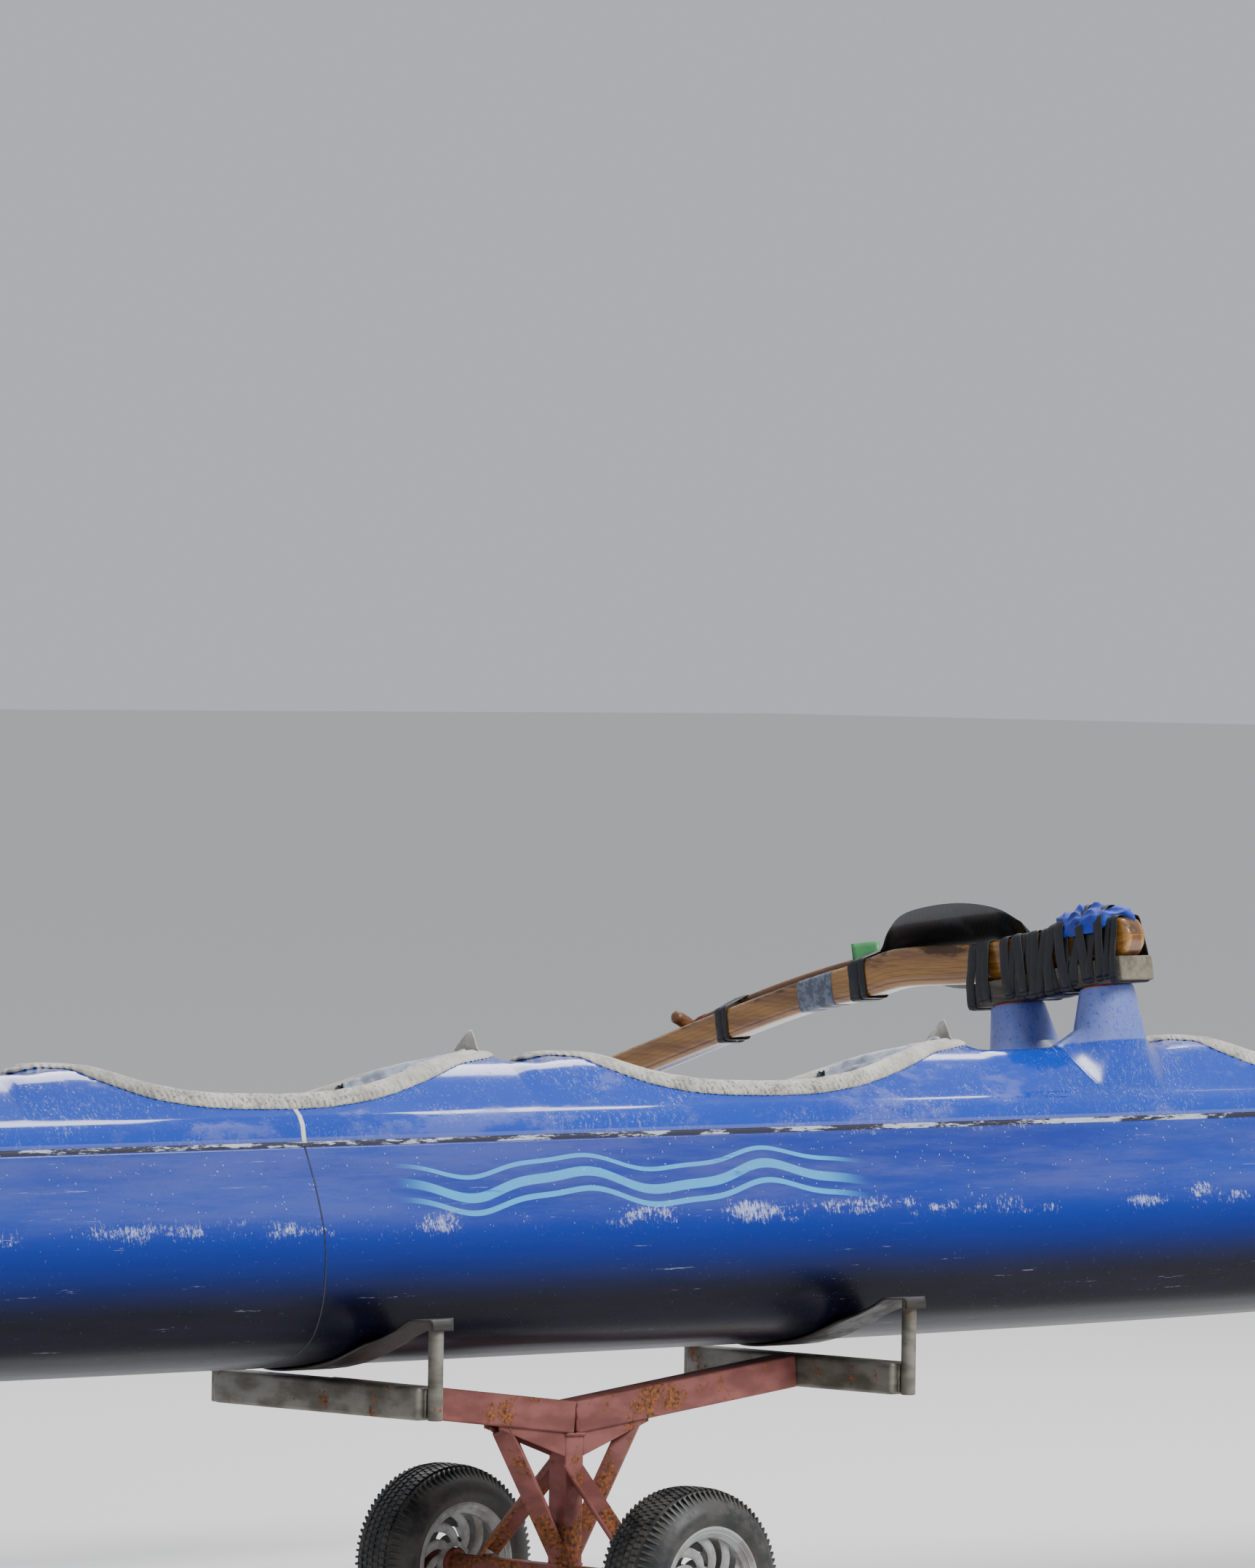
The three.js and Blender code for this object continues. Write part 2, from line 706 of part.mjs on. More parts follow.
function hullLashing(x, grow = 0) {
  const low = PEDESTAL.top + PAD.thickness + 2 * GAP;
  const high = BEAM_REST + BEAM_DEPTH + 2.2;
  const waist = BEAM_REST + 6;
  const rings = HULL_WRAPS.map(([from, to]) =>
    wrap(x, from, to, low, waist, high, BLOCK.along / 2, BEAM_WIDTH / 2, grow),
  );
  const top = high + GAP;
  const tie = box(x - 14 - grow, x + 14 + grow, -210, 210, top - grow, top + STRAP + grow);
  return joined([...rings, tie]).subtract(beamSolid(x, GAP - grow));
}

function buildBeams(canoe) {
  for (const [name, x] of BEAMS) {
    for (const [side, port] of [
      ["port", PEDESTAL.port],
      ["starboard", -PEDESTAL.port],
    ]) {
      const bottom = PEDESTAL.top + GAP;
      const pad = cylinder(PAD.radius, [x, port, bottom], [x, port, bottom + PAD.thickness]);
      addNode(canoe, `pad_${name}_${side}`, pad, "redPad");
    }
    const blockBottom = PEDESTAL.top + PAD.thickness + 2 * GAP;
    const block = plateOver(
      [
        [-BLOCK.across / 2, blockBottom],
        [BLOCK.across / 2, blockBottom],
        [BLOCK.across / 2, blockBottom + BLOCK.height],
        [-BLOCK.across / 2, blockBottom + BLOCK.height],
      ],
      BLOCK.along,
      "x",
      x - BLOCK.along / 2,
      BLOCK.chamfer,
    );
    addNode(canoe, `beam_block_${name}`, block, "greyTimber");
    addNode(canoe, `beam_${name}`, beamSolid(x), "varnishedWood");
    addNode(canoe, `hull_lashing_${name}`, hullLashing(x), "blackRubber");
  }
}

function floatHalf(x, wall = 0) {
  const share = Math.abs(x - FLOAT.middle) / FLOAT.halfLength;
  const width = FLOAT.halfWidth * (1 - share ** 2.4) ** 0.8 + 4;
  const bottom = FLOAT.bottom + FLOAT.keelRise * share ** 3.5;
  const top = FLOAT.top + FLOAT.bowRise * share ** 2;
  const depth = top - bottom;
  const half = [
    [0, 0],
    [0.5, 0.07],
    [0.85, 0.27],
    [1, 0.55],
    [0.88, 0.82],
    [0.5, 0.97],
    [0, 1],
  ].map(([y, z]) => [y * width, bottom + z * depth]);
  return wall === 0 ? half : insetHalf(half, wall);
}

function floatBody(from, to, wall) {
  const steps = 6;
  const rings = Array.from({ length: steps + 1 }, (_, i) => {
    const x = FLOAT.middle + FLOAT.halfLength * (from + ((to - from) * i) / steps);
    return wholeRing(floatHalf(x, wall)).map(([y, z]) => [x, FLOAT.port + y, z]);
  });
  return loft(rings);
}

function buildFloat(canoe) {
  const plateTop = beamBottom(FLOAT.port) - FLOAT_POST.cradle;
  const posts = BEAMS.map(([, x]) => {
    const plateBottom = plateTop - FLOAT_POST.plateHeight;
    const profile = [
      [0, FLOAT.top - 30],
      [FLOAT_POST.foot, FLOAT.top - 30],
      [FLOAT_POST.foot - 22, FLOAT.top + 22],
      [FLOAT_POST.neck, FLOAT.top + 80],
      [FLOAT_POST.neck, plateBottom + 2],
      [0, plateBottom + 2],
    ].map(([r, z]) => new THREE.Vector2(r, z));
    const cone = new THREE.LatheGeometry(profile, 10).rotateX(Math.PI / 2);
    const plate = FLOAT_POST.plate / 2;
    return joined([
      solidOf(cone.translate(x, FLOAT.port, 0)),
      box(x - plate * 0.7, x + plate * 0.7, FLOAT.port - plate, FLOAT.port + plate, plateBottom, plateTop),
    ]);
  });
  const shell = floatBody(-1, 1, 0).subtract(floatBody(-0.9, 0.9, FLOAT.wall));
  const drainX = FLOAT.middle - 0.72 * FLOAT.halfLength;
  const drain = cylinder(
    FLOAT.drainRadius,
    [drainX, FLOAT.port, FLOAT.top - 60],
    [drainX, FLOAT.port, FLOAT.top + 80],
  );
  const body = joined([shell, ...posts]);
  const cutters = [drain, ...BEAMS.map(([, x]) => beamSolid(x, GAP))];
  addNode(canoe, "float", without(body, cutters), "hullBlue");

  for (const [name, x] of BEAMS) {
    const inner = FLOAT_POST.neck + 4;
    const low = plateTop - FLOAT_POST.plateHeight;
    const high = beamTop(FLOAT.port - inner - 20) + 2;
    const wraps = [
      [FLOAT.port - inner - 20, FLOAT.port - inner],
      [FLOAT.port + inner, FLOAT.port + inner + 20],
    ].map(([from, to]) =>
      wrap(x, from, to, low, plateTop, high, FLOAT_POST.plate * 0.35, BEAM_WIDTH / 2),
    );
    const top = high + GAP;
    const tie = box(x - 12, x + 12, FLOAT.port - inner - 10, FLOAT.port + inner + 10, top, top + STRAP);
    const band = without(joined([...wraps, tie]), [beamSolid(x, GAP)]);
    addNode(canoe, `float_lashing_${name}`, band, "blackRubber");
  }
}

const [, FORE_BEAM] = BEAMS[0];
const PADDLE_X = FORE_BEAM + BEAM_WIDTH / 2 + PADDLE.shaft + GAP;

function paddleShaft(grow = 0) {
  const { grip, gripHeight, throat, throatHeight, shaft } = PADDLE;
  const from = [PADDLE_X, throat - 30, throatHeight];
  return cylinder(shaft + grow, from, [PADDLE_X, grip, gripHeight]);
}

function paddleBlade(grow = 0) {
  const { throat, throatHeight, tipHeight } = PADDLE;
  const edge = BLADE_OUTLINE.map(([y, w]) => new THREE.Vector2(y - throat, w + grow));
  const curve = new THREE.SplineCurve(edge).getPoints(14);
  const shape = new THREE.Shape([...curve, ...curve.map((p) => new THREE.Vector2(p.x, -p.y)).reverse()]);
  const depth = BLADE.thickness + 2 * grow;
  const leaf = new THREE.ExtrudeGeometry(shape, { depth, bevelEnabled: false });
  leaf.translate(0, 0, -depth / 2).rotateX(Math.PI / 2).rotateZ(Math.PI / 2);
  leaf.rotateY(-THREE.MathUtils.degToRad(BLADE.lean));
  const tip = BLADE_OUTLINE[BLADE_OUTLINE.length - 1][0];
  leaf.rotateX(Math.atan2(throatHeight - tipHeight, throat - tip));
  return solidOf(leaf.translate(PADDLE_X, throat, throatHeight));
}

function buildPaddle(canoe) {
  const { grip, gripHeight, shaft } = PADDLE;
  const crossPiece = cylinder(
    shaft + 1,
    [PADDLE_X - 46, grip, gripHeight + 30],
    [PADDLE_X + 62, grip, gripHeight - 30],
  );
  addNode(canoe, "paddle_shaft", joined([paddleShaft(), crossPiece]), "varnishedWood");
  addNode(canoe, "paddle_blade", paddleBlade().subtract(paddleShaft(GAP)), "carbon");

  for (const [name, from, width] of PADDLE_TIES) {
    const middle = from + width / 2;
    const top = beamTop(middle);
    const bottom = beamBottom(middle);
    const left = FORE_BEAM - BEAM_WIDTH / 2;
    const right = PADDLE_X + shaft;
    const far = FORE_BEAM + BEAM_WIDTH / 2;
    const outline = (thick) => [
      [left - thick, bottom - thick],
      [far + thick, bottom - thick],
      [right + thick, top - 30],
      [right + thick, top + 26 + thick],
      [far - 6, top + 30 + thick],
      [left - thick, top + thick],
    ];
    const ring = plateOver(outline(STRAP), width, "y", from).subtract(
      plateOver(outline(0), width + 20, "y", from - 10),
    );
    const held = [beamSolid(FORE_BEAM, GAP), paddleShaft(GAP), paddleBlade(GAP)];
    addNode(canoe, `paddle_tie_${name}`, without(ring, held), "blackRubber");
  }
}

function buildCloth(canoe) {
  const top = BEAM_REST + BEAM_DEPTH;
  const dome = new THREE.SphereGeometry(1, 12, 8);
  dome.scale(52, 66, 42).translate(FORE_BEAM, -122, top + 4);
  const cuts = [
    beamSolid(FORE_BEAM, GAP),
    hullLashing(FORE_BEAM, GAP),
    box(FORE_BEAM - 200, FORE_BEAM + 200, -400, 400, top - 100, top - 20),
  ];
  addNode(canoe, "cloth_wrap", without(solidOf(dome), cuts), "blueCloth");
}

// The hull's section at a station, turned by the heel and lifted to its height on the trolley.
function heeledSection(x, grow) {
  const turn = THREE.MathUtils.degToRad(HEEL);
  return wholeRing(insetHalf(hullHalf(x), -grow)).map(([y, z]) => [
    y * Math.cos(turn) + z * Math.sin(turn),
    KEEL_HEIGHT - y * Math.sin(turn) + z * Math.cos(turn),
  ]);
}

// A sling hangs as the lower convex edge around both post tops and the hull.
function slingLine(x) {
  const rise = SLING.thickness / 2 + GAP;
  const topHeight = POST.top + rise;
  const hull = heeledSection(x, rise + 0.4).filter(([, z]) => z < topHeight + 40);
  const edge = POST.port - POST.radius - 3;
  const points = [[-edge, topHeight], ...hull, [edge, topHeight]];
  points.sort((a, b) => a[0] - b[0]);
  const line = [];
  for (const point of points) {
    while (line.length > 1) {
      const [a, b] = line.slice(-2);
      const turn = (b[0] - a[0]) * (point[1] - a[1]) - (b[1] - a[1]) * (point[0] - a[0]);
      if (turn > 0) break;
      line.pop();
    }
    line.push(point);
  }
  const outside = POST.port + POST.radius + rise + 2;
  const hem = POST.top - SLING.fold;
  return [[-outside, hem], [-outside, topHeight], ...line, [outside, topHeight], [outside, hem]];
}

function ribbon(line, thickness) {
  const offset = (way) =>
    line.map((point, i) => {
      const before = line[Math.max(i - 1, 0)];
      const after = line[Math.min(i + 1, line.length - 1)];
      const a = new THREE.Vector2(point[0] - before[0], point[1] - before[1]);
      const b = new THREE.Vector2(after[0] - point[0], after[1] - point[1]);
      const along = a.normalize().add(b.normalize()).normalize();
      const spread = Math.max(0.6, Math.abs(along.dot(b.length() > 0.5 ? b : a)));
      const shift = (way * thickness) / 2 / spread;
      return [point[0] + along.y * shift, point[1] - along.x * shift];
    });
  return [...offset(1), ...offset(-1).reverse()];
}

function tube(side, wall, from, to, axis) {
  const half = side / 2;
  const inner = half - wall;
  const span = (size, end) =>
    axis === "y"
      ? box(-size, size, from - end, to + end, -size, size)
      : box(-size, size, -size, size, from - end, to + end);
  return span(half, 0).subtract(span(inner, 5));
}

const spineTop = (x) =>
  SPINE.middleTop + ((SPINE.endTop - SPINE.middleTop) * Math.abs(x)) / CROSSBAR.reach;

function spineOutline() {
  const end = CROSSBAR.reach - CROSSBAR.side / 2 - GAP;
  return [
    [-end, spineTop(end) - SPINE.depth],
    [0, spineTop(0) - SPINE.depth],
    [end, spineTop(end) - SPINE.depth],
    [end, spineTop(end)],
    [0, spineTop(0)],
    [-end, spineTop(end)],
  ];
}

const spineSolid = () => plateOver(spineOutline(), SPINE.width, "y", -SPINE.width / 2);

// An angle-iron brace from one point to another, its corner along the line between them.
function brace(from, to, roll) {
  const { flange, thickness } = BRACE;
  const corner = [
    [0, 0],
    [flange, 0],
    [flange, thickness],
    [thickness, thickness],
    [thickness, flange],
    [0, flange],
  ].map(([a, b]) => new THREE.Vector2(a - flange / 2, b - flange / 2));
  const a = new THREE.Vector3(...from);
  const b = new THREE.Vector3(...to);
  const bar = new THREE.ExtrudeGeometry(new THREE.Shape(corner), {
    depth: a.distanceTo(b),
    bevelEnabled: false,
  });
  bar.rotateZ(roll);
  const turn = new THREE.Quaternion().setFromUnitVectors(
    new THREE.Vector3(0, 0, 1),
    b.clone().sub(a).normalize(),
  );
  return solidOf(bar.applyQuaternion(turn).translate(a.x, a.y, a.z));
}

// Spine, column, axle and braces, welded into one.
function trolleyFrame() {
  const columnTop = SPINE.middleTop - SPINE.depth + 2;
  const axleTop = AXLE.height + AXLE.side / 2;
  const column = tube(COLUMN.side, COLUMN.wall, axleTop - 2, columnTop, "z");
  const beam = geometryOf(tube(AXLE.side, AXLE.wall, -AXLE.halfLength, AXLE.halfLength, "y"));
  const axle = solidOf(beam.translate(0, 0, AXLE.height));
  const pieces = [column, axle, spineSolid()];
  for (const way of [1, -1]) {
    const spineHeight = SPINE.middleTop - SPINE.depth + 20;
    pieces.push(
      brace([way * BRACE.spineReach, 0, spineHeight], [way * 14, 0, BRACE.foot], Math.PI / 4),
      brace([0, way * 14, BRACE.head], [0, way * BRACE.axleReach, axleTop + 6], Math.PI / 4),
    );
    const hubFace = WHEEL.port - WHEEL.hubHalf;
    const outerFace = WHEEL.port + WHEEL.hubHalf;
    const at = (y) => [0, way * y, AXLE.height];
    pieces.push(
      cylinder(AXLE.spindle, at(AXLE.halfLength - 14), at(outerFace + 4)),
      cylinder(AXLE.collar, at(AXLE.halfLength - 6), at(hubFace - 1)),
      cylinder(AXLE.cap, at(outerFace + 1), at(outerFace + 9)),
    );
  }
  const channel = spineOutline().map(([a, z], i) => [a * 1.1, z + (i < 3 ? SPINE.wall : -SPINE.wall)]);
  const bore = plateOver(channel, SPINE.width - 2 * SPINE.wall, "y", -SPINE.width / 2 + SPINE.wall);
  const drain = cylinder(COLUMN.drain, [0, 0, axleTop + 25], [-COLUMN.side, 0, axleTop + 25]);
  return without(joined(pieces), [bore, drain]);
}

// A wheel's round piece. Its flats, not its corners, lie at the given radii, and it stands on one.
function lathed(profile, port) {
  const corner = 1 / Math.cos(Math.PI / ROUND);
  const points = profile.map(([r, y]) => new THREE.Vector2(r * corner, y));
  const round = new THREE.LatheGeometry([...points, points[0]], ROUND, Math.PI / ROUND);
  return solidOf(round.translate(0, port, AXLE.height));
}

function tyre(port) {
  const { rim, beadFace, beadInside } = WHEEL;
  const bead = rim + 0.5;
  const side = [...TYRE_OUTSIDE, [bead, beadFace], [bead, beadInside], ...TYRE_INSIDE];
  const otherSide = side.map(([r, y]) => [r, -y]).reverse();
  return lathed([...side, ...otherSide], port);
}

function wheelRim(port) {
  const { rim, bore, hub, hubHalf, beadFace } = WHEEL;
  const flange = beadFace + GAP;
  const barrel = [
    [rim, -flange],
    [rim + 14, -flange],
    [rim + 14, -flange - 4],
    [rim - 12, -flange + 10],
    [rim - 12, flange - 10],
    [rim + 14, flange + 4],
    [rim + 14, flange],
    [rim, flange],
  ];
  const core = [
    [bore, -hubHalf],
    [bore, hubHalf],
    [hub, hubHalf],
    [rim - 8, 6],
    [rim - 8, -4],
    [hub, -hubHalf],
  ];
  return joined([lathed(barrel.reverse(), port), lathed(core.reverse(), port)]);
}

function buildTrolley(craft, name, x) {
  const trolley = new THREE.Group();
  trolley.position.x = x;
  craft.add(trolley);
  const label = (part) => `trolley_${name}_${part}`;
  addNode(trolley, label("frame"), trolleyFrame(), "redPrimer");
  for (const [end, way] of [
    ["fore", 1],
    ["aft", -1],
  ]) {
    const at = way * CROSSBAR.reach;
    const half = CROSSBAR.length / 2;
    const bar = geometryOf(tube(CROSSBAR.side, CROSSBAR.wall, -half, half, "y"));
    bar.translate(at, 0, CROSSBAR.bottom + CROSSBAR.side / 2);
    const posts = [1, -1].map((side) =>
      cylinder(POST.radius, [at, side * POST.port, CROSSBAR.bottom], [at, side * POST.port, POST.top]),
    );
    const welds = [1, -1].map((side) => {
      const face = side * half;
      const [low, high] = [CROSSBAR.bottom + 1, CROSSBAR.bottom + CROSSBAR.side - 1];
      return box(at - WELD.half, at + WELD.half, face - WELD.reach, face + WELD.reach, low, high);
    });
    addNode(trolley, label(`crossbar_${end}`), joined([solidOf(bar), ...posts, ...welds]), "galvanised");
    const fullest = x + at - (Math.sign(x + at) * SLING.width) / 2;
    const outline = ribbon(slingLine(fullest), SLING.thickness);
    const sling = plateOver(outline, SLING.width, "x", at - SLING.width / 2);
    addNode(trolley, label(`sling_${end}`), sling, "blackRubber");
  }
  for (const [side, way] of [
    ["port", 1],
    ["starboard", -1],
  ]) {
    addNode(trolley, label(`tyre_${side}`), tyre(way * WHEEL.port), "tyreRubber");
    addNode(trolley, label(`rim_${side}`), wheelRim(way * WHEEL.port), "rimPlastic");
  }
}

const craft = new THREE.Group();
const canoe = new THREE.Group();
canoe.rotation.x = -THREE.MathUtils.degToRad(HEEL);
canoe.position.z = KEEL_HEIGHT;
craft.add(canoe);
buildHullAndDeck(canoe);
buildSeats(canoe);
buildCovers(canoe);
buildBeams(canoe);
buildFloat(canoe);
buildPaddle(canoe);
buildCloth(canoe);
for (const [name, x] of TROLLEYS) buildTrolley(craft, name, x);

// The part's origin is on the ground, under the middle of its bounding box.
craft.updateMatrixWorld(true);
const bounds = new THREE.Box3().setFromObject(craft, true);
const middle = bounds.getCenter(new THREE.Vector3());
craft.position.set(-middle.x, -middle.y, -bounds.min.z);

export default craft;
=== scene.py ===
"""A six-seat outrigger canoe lying heeled in the slings of two launching trolleys."""

import json
import math

import bmesh
import bpy
from mathutils import Matrix, Vector, noise


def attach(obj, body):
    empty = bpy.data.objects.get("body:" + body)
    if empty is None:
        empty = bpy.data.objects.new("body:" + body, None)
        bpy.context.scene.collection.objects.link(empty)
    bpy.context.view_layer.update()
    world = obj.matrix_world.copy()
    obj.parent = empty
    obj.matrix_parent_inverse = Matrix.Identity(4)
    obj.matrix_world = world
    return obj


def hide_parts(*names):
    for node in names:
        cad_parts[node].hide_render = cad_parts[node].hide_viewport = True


bl_info = {
    "name": "Outrigger canoe on trolleys",
    "version": (1, 0, 0),
    "blender": (4, 5, 0),
    "location": "3D View > Sidebar > Canoe",
    "description": "Builds an outrigger canoe with its beams, float, spare paddle and trolleys",
    "category": "Object",
}

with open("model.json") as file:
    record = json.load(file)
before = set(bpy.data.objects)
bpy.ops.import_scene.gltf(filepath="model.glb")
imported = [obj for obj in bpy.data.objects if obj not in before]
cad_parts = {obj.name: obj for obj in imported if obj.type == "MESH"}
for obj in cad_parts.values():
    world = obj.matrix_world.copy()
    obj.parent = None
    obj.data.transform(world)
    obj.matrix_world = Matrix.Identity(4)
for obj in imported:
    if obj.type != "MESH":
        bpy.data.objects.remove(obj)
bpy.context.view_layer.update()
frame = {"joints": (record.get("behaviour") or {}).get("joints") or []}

CRAFT = "canoe_on_trolleys"
HEEL = math.radians(10)
HEELED = (HEEL, 0, 0)
KEEL_LIFT = 0.649
hinges = {joint["name"]: joint["pos_m"] for joint in frame["joints"]}
SHIFT = (hinges["wheel_fore_port_spin"][1] + hinges["wheel_fore_starboard_spin"][1]) / 2
TROLLEYS = {end: hinges[f"wheel_{end}_port_spin"][0] for end in ("fore", "aft")}
MM = 0.001

# The canoe is drawn upright in millimetres, then heeled and lifted into its slings.
AS_CANOE = (
    Matrix.Translation((0, SHIFT, KEEL_LIFT))
    @ Matrix.Rotation(-HEEL, 4, "X")
    @ Matrix.Scale(MM, 4)
)
HALF_LENGTH = 6850
HALF_BEAM = 200
TIP_HALF_BEAM = 4
SEAM_HEIGHT = 410
HULL_SECTION = [
    (0, 0), (0.32, 0.008), (0.6, 0.035), (0.835, 0.098), (1.025, 0.244),
    (1.13, 0.427), (1.155, 0.58), (1.1, 0.79), (1, 1),
]
SECTIONS = ("stern", "aft", "mid_aft", "mid_fore", "fore", "bow")

DECK_HEIGHT = 165
GUNWALE_BAND = 40
CREASE_RISE = 18
CREASE_INSET = 14
COCKPIT_LENGTH = 1190
COCKPIT_AFT_ENDS = (2610, 806, -535, -1870, -3675, -5008)
RIM_RISE = [
    (0, 186), (0.04, 180), (0.1, 155), (0.16, 130), (0.22, 114), (0.28, 104), (0.36, 99),
    (0.45, 97), (0.54, 100), (0.65, 116), (0.76, 144), (0.87, 174), (1, 193),
]
BULKHEADS = (3960, -5420)

BEAMS = {"fore": 2362, "aft": -2180}
PEDESTAL_PORT = 130
PEDESTAL_TOP = 695
PEDESTAL_RINGS = [
    (0, 54, 54, 0), (8, 59, 58, 0), (83, 82, 65, 7), (150, 110, 71, 14), (180, 136, 76, 20),
]
BLOCK_BOTTOM = 698.6
BLOCK = (100, 450, 52)
BEAM_WIDTH = 60
BEAM_MIDDLE = 792.9
BEAM_LINE = [
    (-200, 0, 84), (0, 0, 84), (170, 1, 84), (270, 8, 84), (448, 27, 84), (570, 16, 79),
    (770, 5, 66), (1037, -27, 66), (1220, -53, 66), (1540, -100, 66), (1850, -148, 66),
    (1915, -158, 66),
]

FLOAT = {"port": 1850, "middle": 350, "half": 2900, "width": 108, "top": 455, "bottom": 185}
FLOAT_SECTION = [(0, 0), (0.5, 0.07), (0.85, 0.27), (1, 0.55), (0.88, 0.82), (0.5, 0.97), (0, 1)]

PADDLE_X = 2406.3
PADDLE = {"grip": 1165, "grip_height": 788, "throat": 585, "throat_height": 855, "tip_height": 840}
BLADE_OUTLINE = [
    (585, 17), (545, 24), (490, 68), (420, 106), (330, 118), (230, 112), (150, 84), (112, 40),
]

CROSSBAR_REACH = 650
CROSSBAR_BOTTOM = 557
CROSSBAR_SIDE = 65
POST_PORT = 314
POST_TOP = 752
SPINE = {"width": 60, "depth": 65, "end_top": 626, "middle_top": 552}
SLING_WIDTH = 110
AXLE_HEIGHT = 203
WHEEL_PORT = 356
SLEEVE_ENDS = (645, 750)
COLLAR_ENDS = (1106, 1132)
DRAIN_X = -1738
SEAM_END = 6790
FLOAT_PLATE = {"half": 45.5, "bottom": 593.9, "top": 609}
# Each turn of a paddle's tie: its distance to port, its width and how far it leans.
PADDLE_TIES = {
    "inboard": [(552, 22, 0), (568, 22, 4), (583, 18, -3)],
    "outboard": [(980, 18, 2), (999, 20, -2)],
}


def as_trolley(end):
    """The place of one trolley, which is drawn in millimetres round its axle's foot."""
    return Matrix.Translation((TROLLEYS[end], SHIFT, 0)) @ Matrix.Scale(MM, 4)


def read(table, place, column=1):
    """A table's value at a place, straight between its rows."""
    place = min(max(place, table[0][0]), table[-1][0])
    for before, after in zip(table, table[1:]):
        if place <= after[0]:
            share = (place - before[0]) / (after[0] - before[0])
            return before[column] + (after[column] - before[column]) * share
    return table[-1][column]


def ease(value, low, high):
    """0 below low, 1 above high, and smooth between them."""
    share = min(max((value - low) / (high - low), 0), 1)
    return share * share * (3 - 2 * share)


def smooth_line(points, steps=6, after=None):
    """A rounded line that passes through every point."""
    points = [Vector(p) for p in points]
    last = Vector(after) if after else 2 * points[-1] - points[-2]
    padded = [2 * points[0] - points[1], *points, last]
    line = []
    for a, b, c, d in zip(padded, padded[1:], padded[2:], padded[3:]):
        for i in range(steps):
            t = i / steps
            bend = (2 * a - 5 * b + 4 * c - d) * t + (3 * (b - c) - a + d) * t * t
            line.append(b + 0.5 * t * (c - a + bend))
    return [*line, points[-1]]


def spaced(line, count):
    """count + 1 points at equal distances along a line."""
    lengths = [0.0]
    for a, b in zip(line, line[1:]):
        lengths.append(lengths[-1] + (b - a).length)
    points, k = [], 0
    for i in range(count + 1):
        target = lengths[-1] * i / count
        while k < len(line) - 2 and lengths[k + 1] < target:
            k += 1
        span = max(lengths[k + 1] - lengths[k], 1e-9)
        points.append(line[k].lerp(line[k + 1], min(max((target - lengths[k]) / span, 0), 1)))
    return points


HULL_LINE = smooth_line(HULL_SECTION, 5)
RIM_LINE = smooth_line([(a * COCKPIT_LENGTH, b) for a, b in RIM_RISE], 6)


def reach(x):
    return min(abs(x) / HALF_LENGTH, 1)


def half_beam(x):
    power = 2.5 if x > 0 else 2.8
    return TIP_HALF_BEAM + (HALF_BEAM - TIP_HALF_BEAM) * (1 - reach(x) ** power) ** 0.9


def keel_height(x):
    return 290 * reach(x) ** 3.5 + 110 * reach(x) ** 40


def seam_height(x):
    return SEAM_HEIGHT + 100 * reach(x) ** 4


def hull_point(x, share, side, proud=0.0):
    """A point on the hull's outside: share runs over HULL_LINE from keel to seam."""
    spot = share * (len(HULL_LINE) - 1)
    k = min(int(spot), len(HULL_LINE) - 2)
    line = HULL_LINE[k].lerp(HULL_LINE[k + 1], spot - k)
    step = HULL_LINE[k + 1] - HULL_LINE[k]
    depth = seam_height(x) - keel_height(x)
    out = Vector((step.y * depth, -step.x * half_beam(x))).normalized() * proud
    y = line.x * half_beam(x) + out.x
    return Vector((x, side * y, keel_height(x) + line.y * depth + out.y))


def deck_forms():
    """Rows of station, crown above the seam and how arched the deck is."""
    rows = [(4500, 148, 0.5), (5500, 110, 0.7), (6300, 64, 0.8), (6850, 16, 1)]
    rows += [(-5700, 142, 0.5), (-6300, 82, 0.8), (-6850, 16, 1)]
    for aft in COCKPIT_AFT_ENDS:
        front = aft + COCKPIT_LENGTH
        rows += [(aft - 66, 165, 0), (aft, 186, 0.5), (front, 193, 1)]
        rows += [(front + 40, 167, 0.1), (front + 90, 165, 0)]
    return sorted(rows)


DECK_FORMS = deck_forms()


def cockpit_at(x):
    """The aft end of the cockpit that a station lies in, or None."""
    for aft in COCKPIT_AFT_ENDS:
        if aft <= x <= aft + COCKPIT_LENGTH:
            return aft
    return None


def deck_fillet(x, y):
    """How far the deck rises in a hollow curve to meet a beam's pedestals."""
    rise = 0.0
    for beam in BEAMS.values():
        if abs(x - beam) < 300:
            spread = math.hypot((x - beam) / 98, (abs(y) - 119) / 69)
            rise = max(rise, 30 * math.exp(-max(spread - 1, 0) * 82 / 20))
    return rise


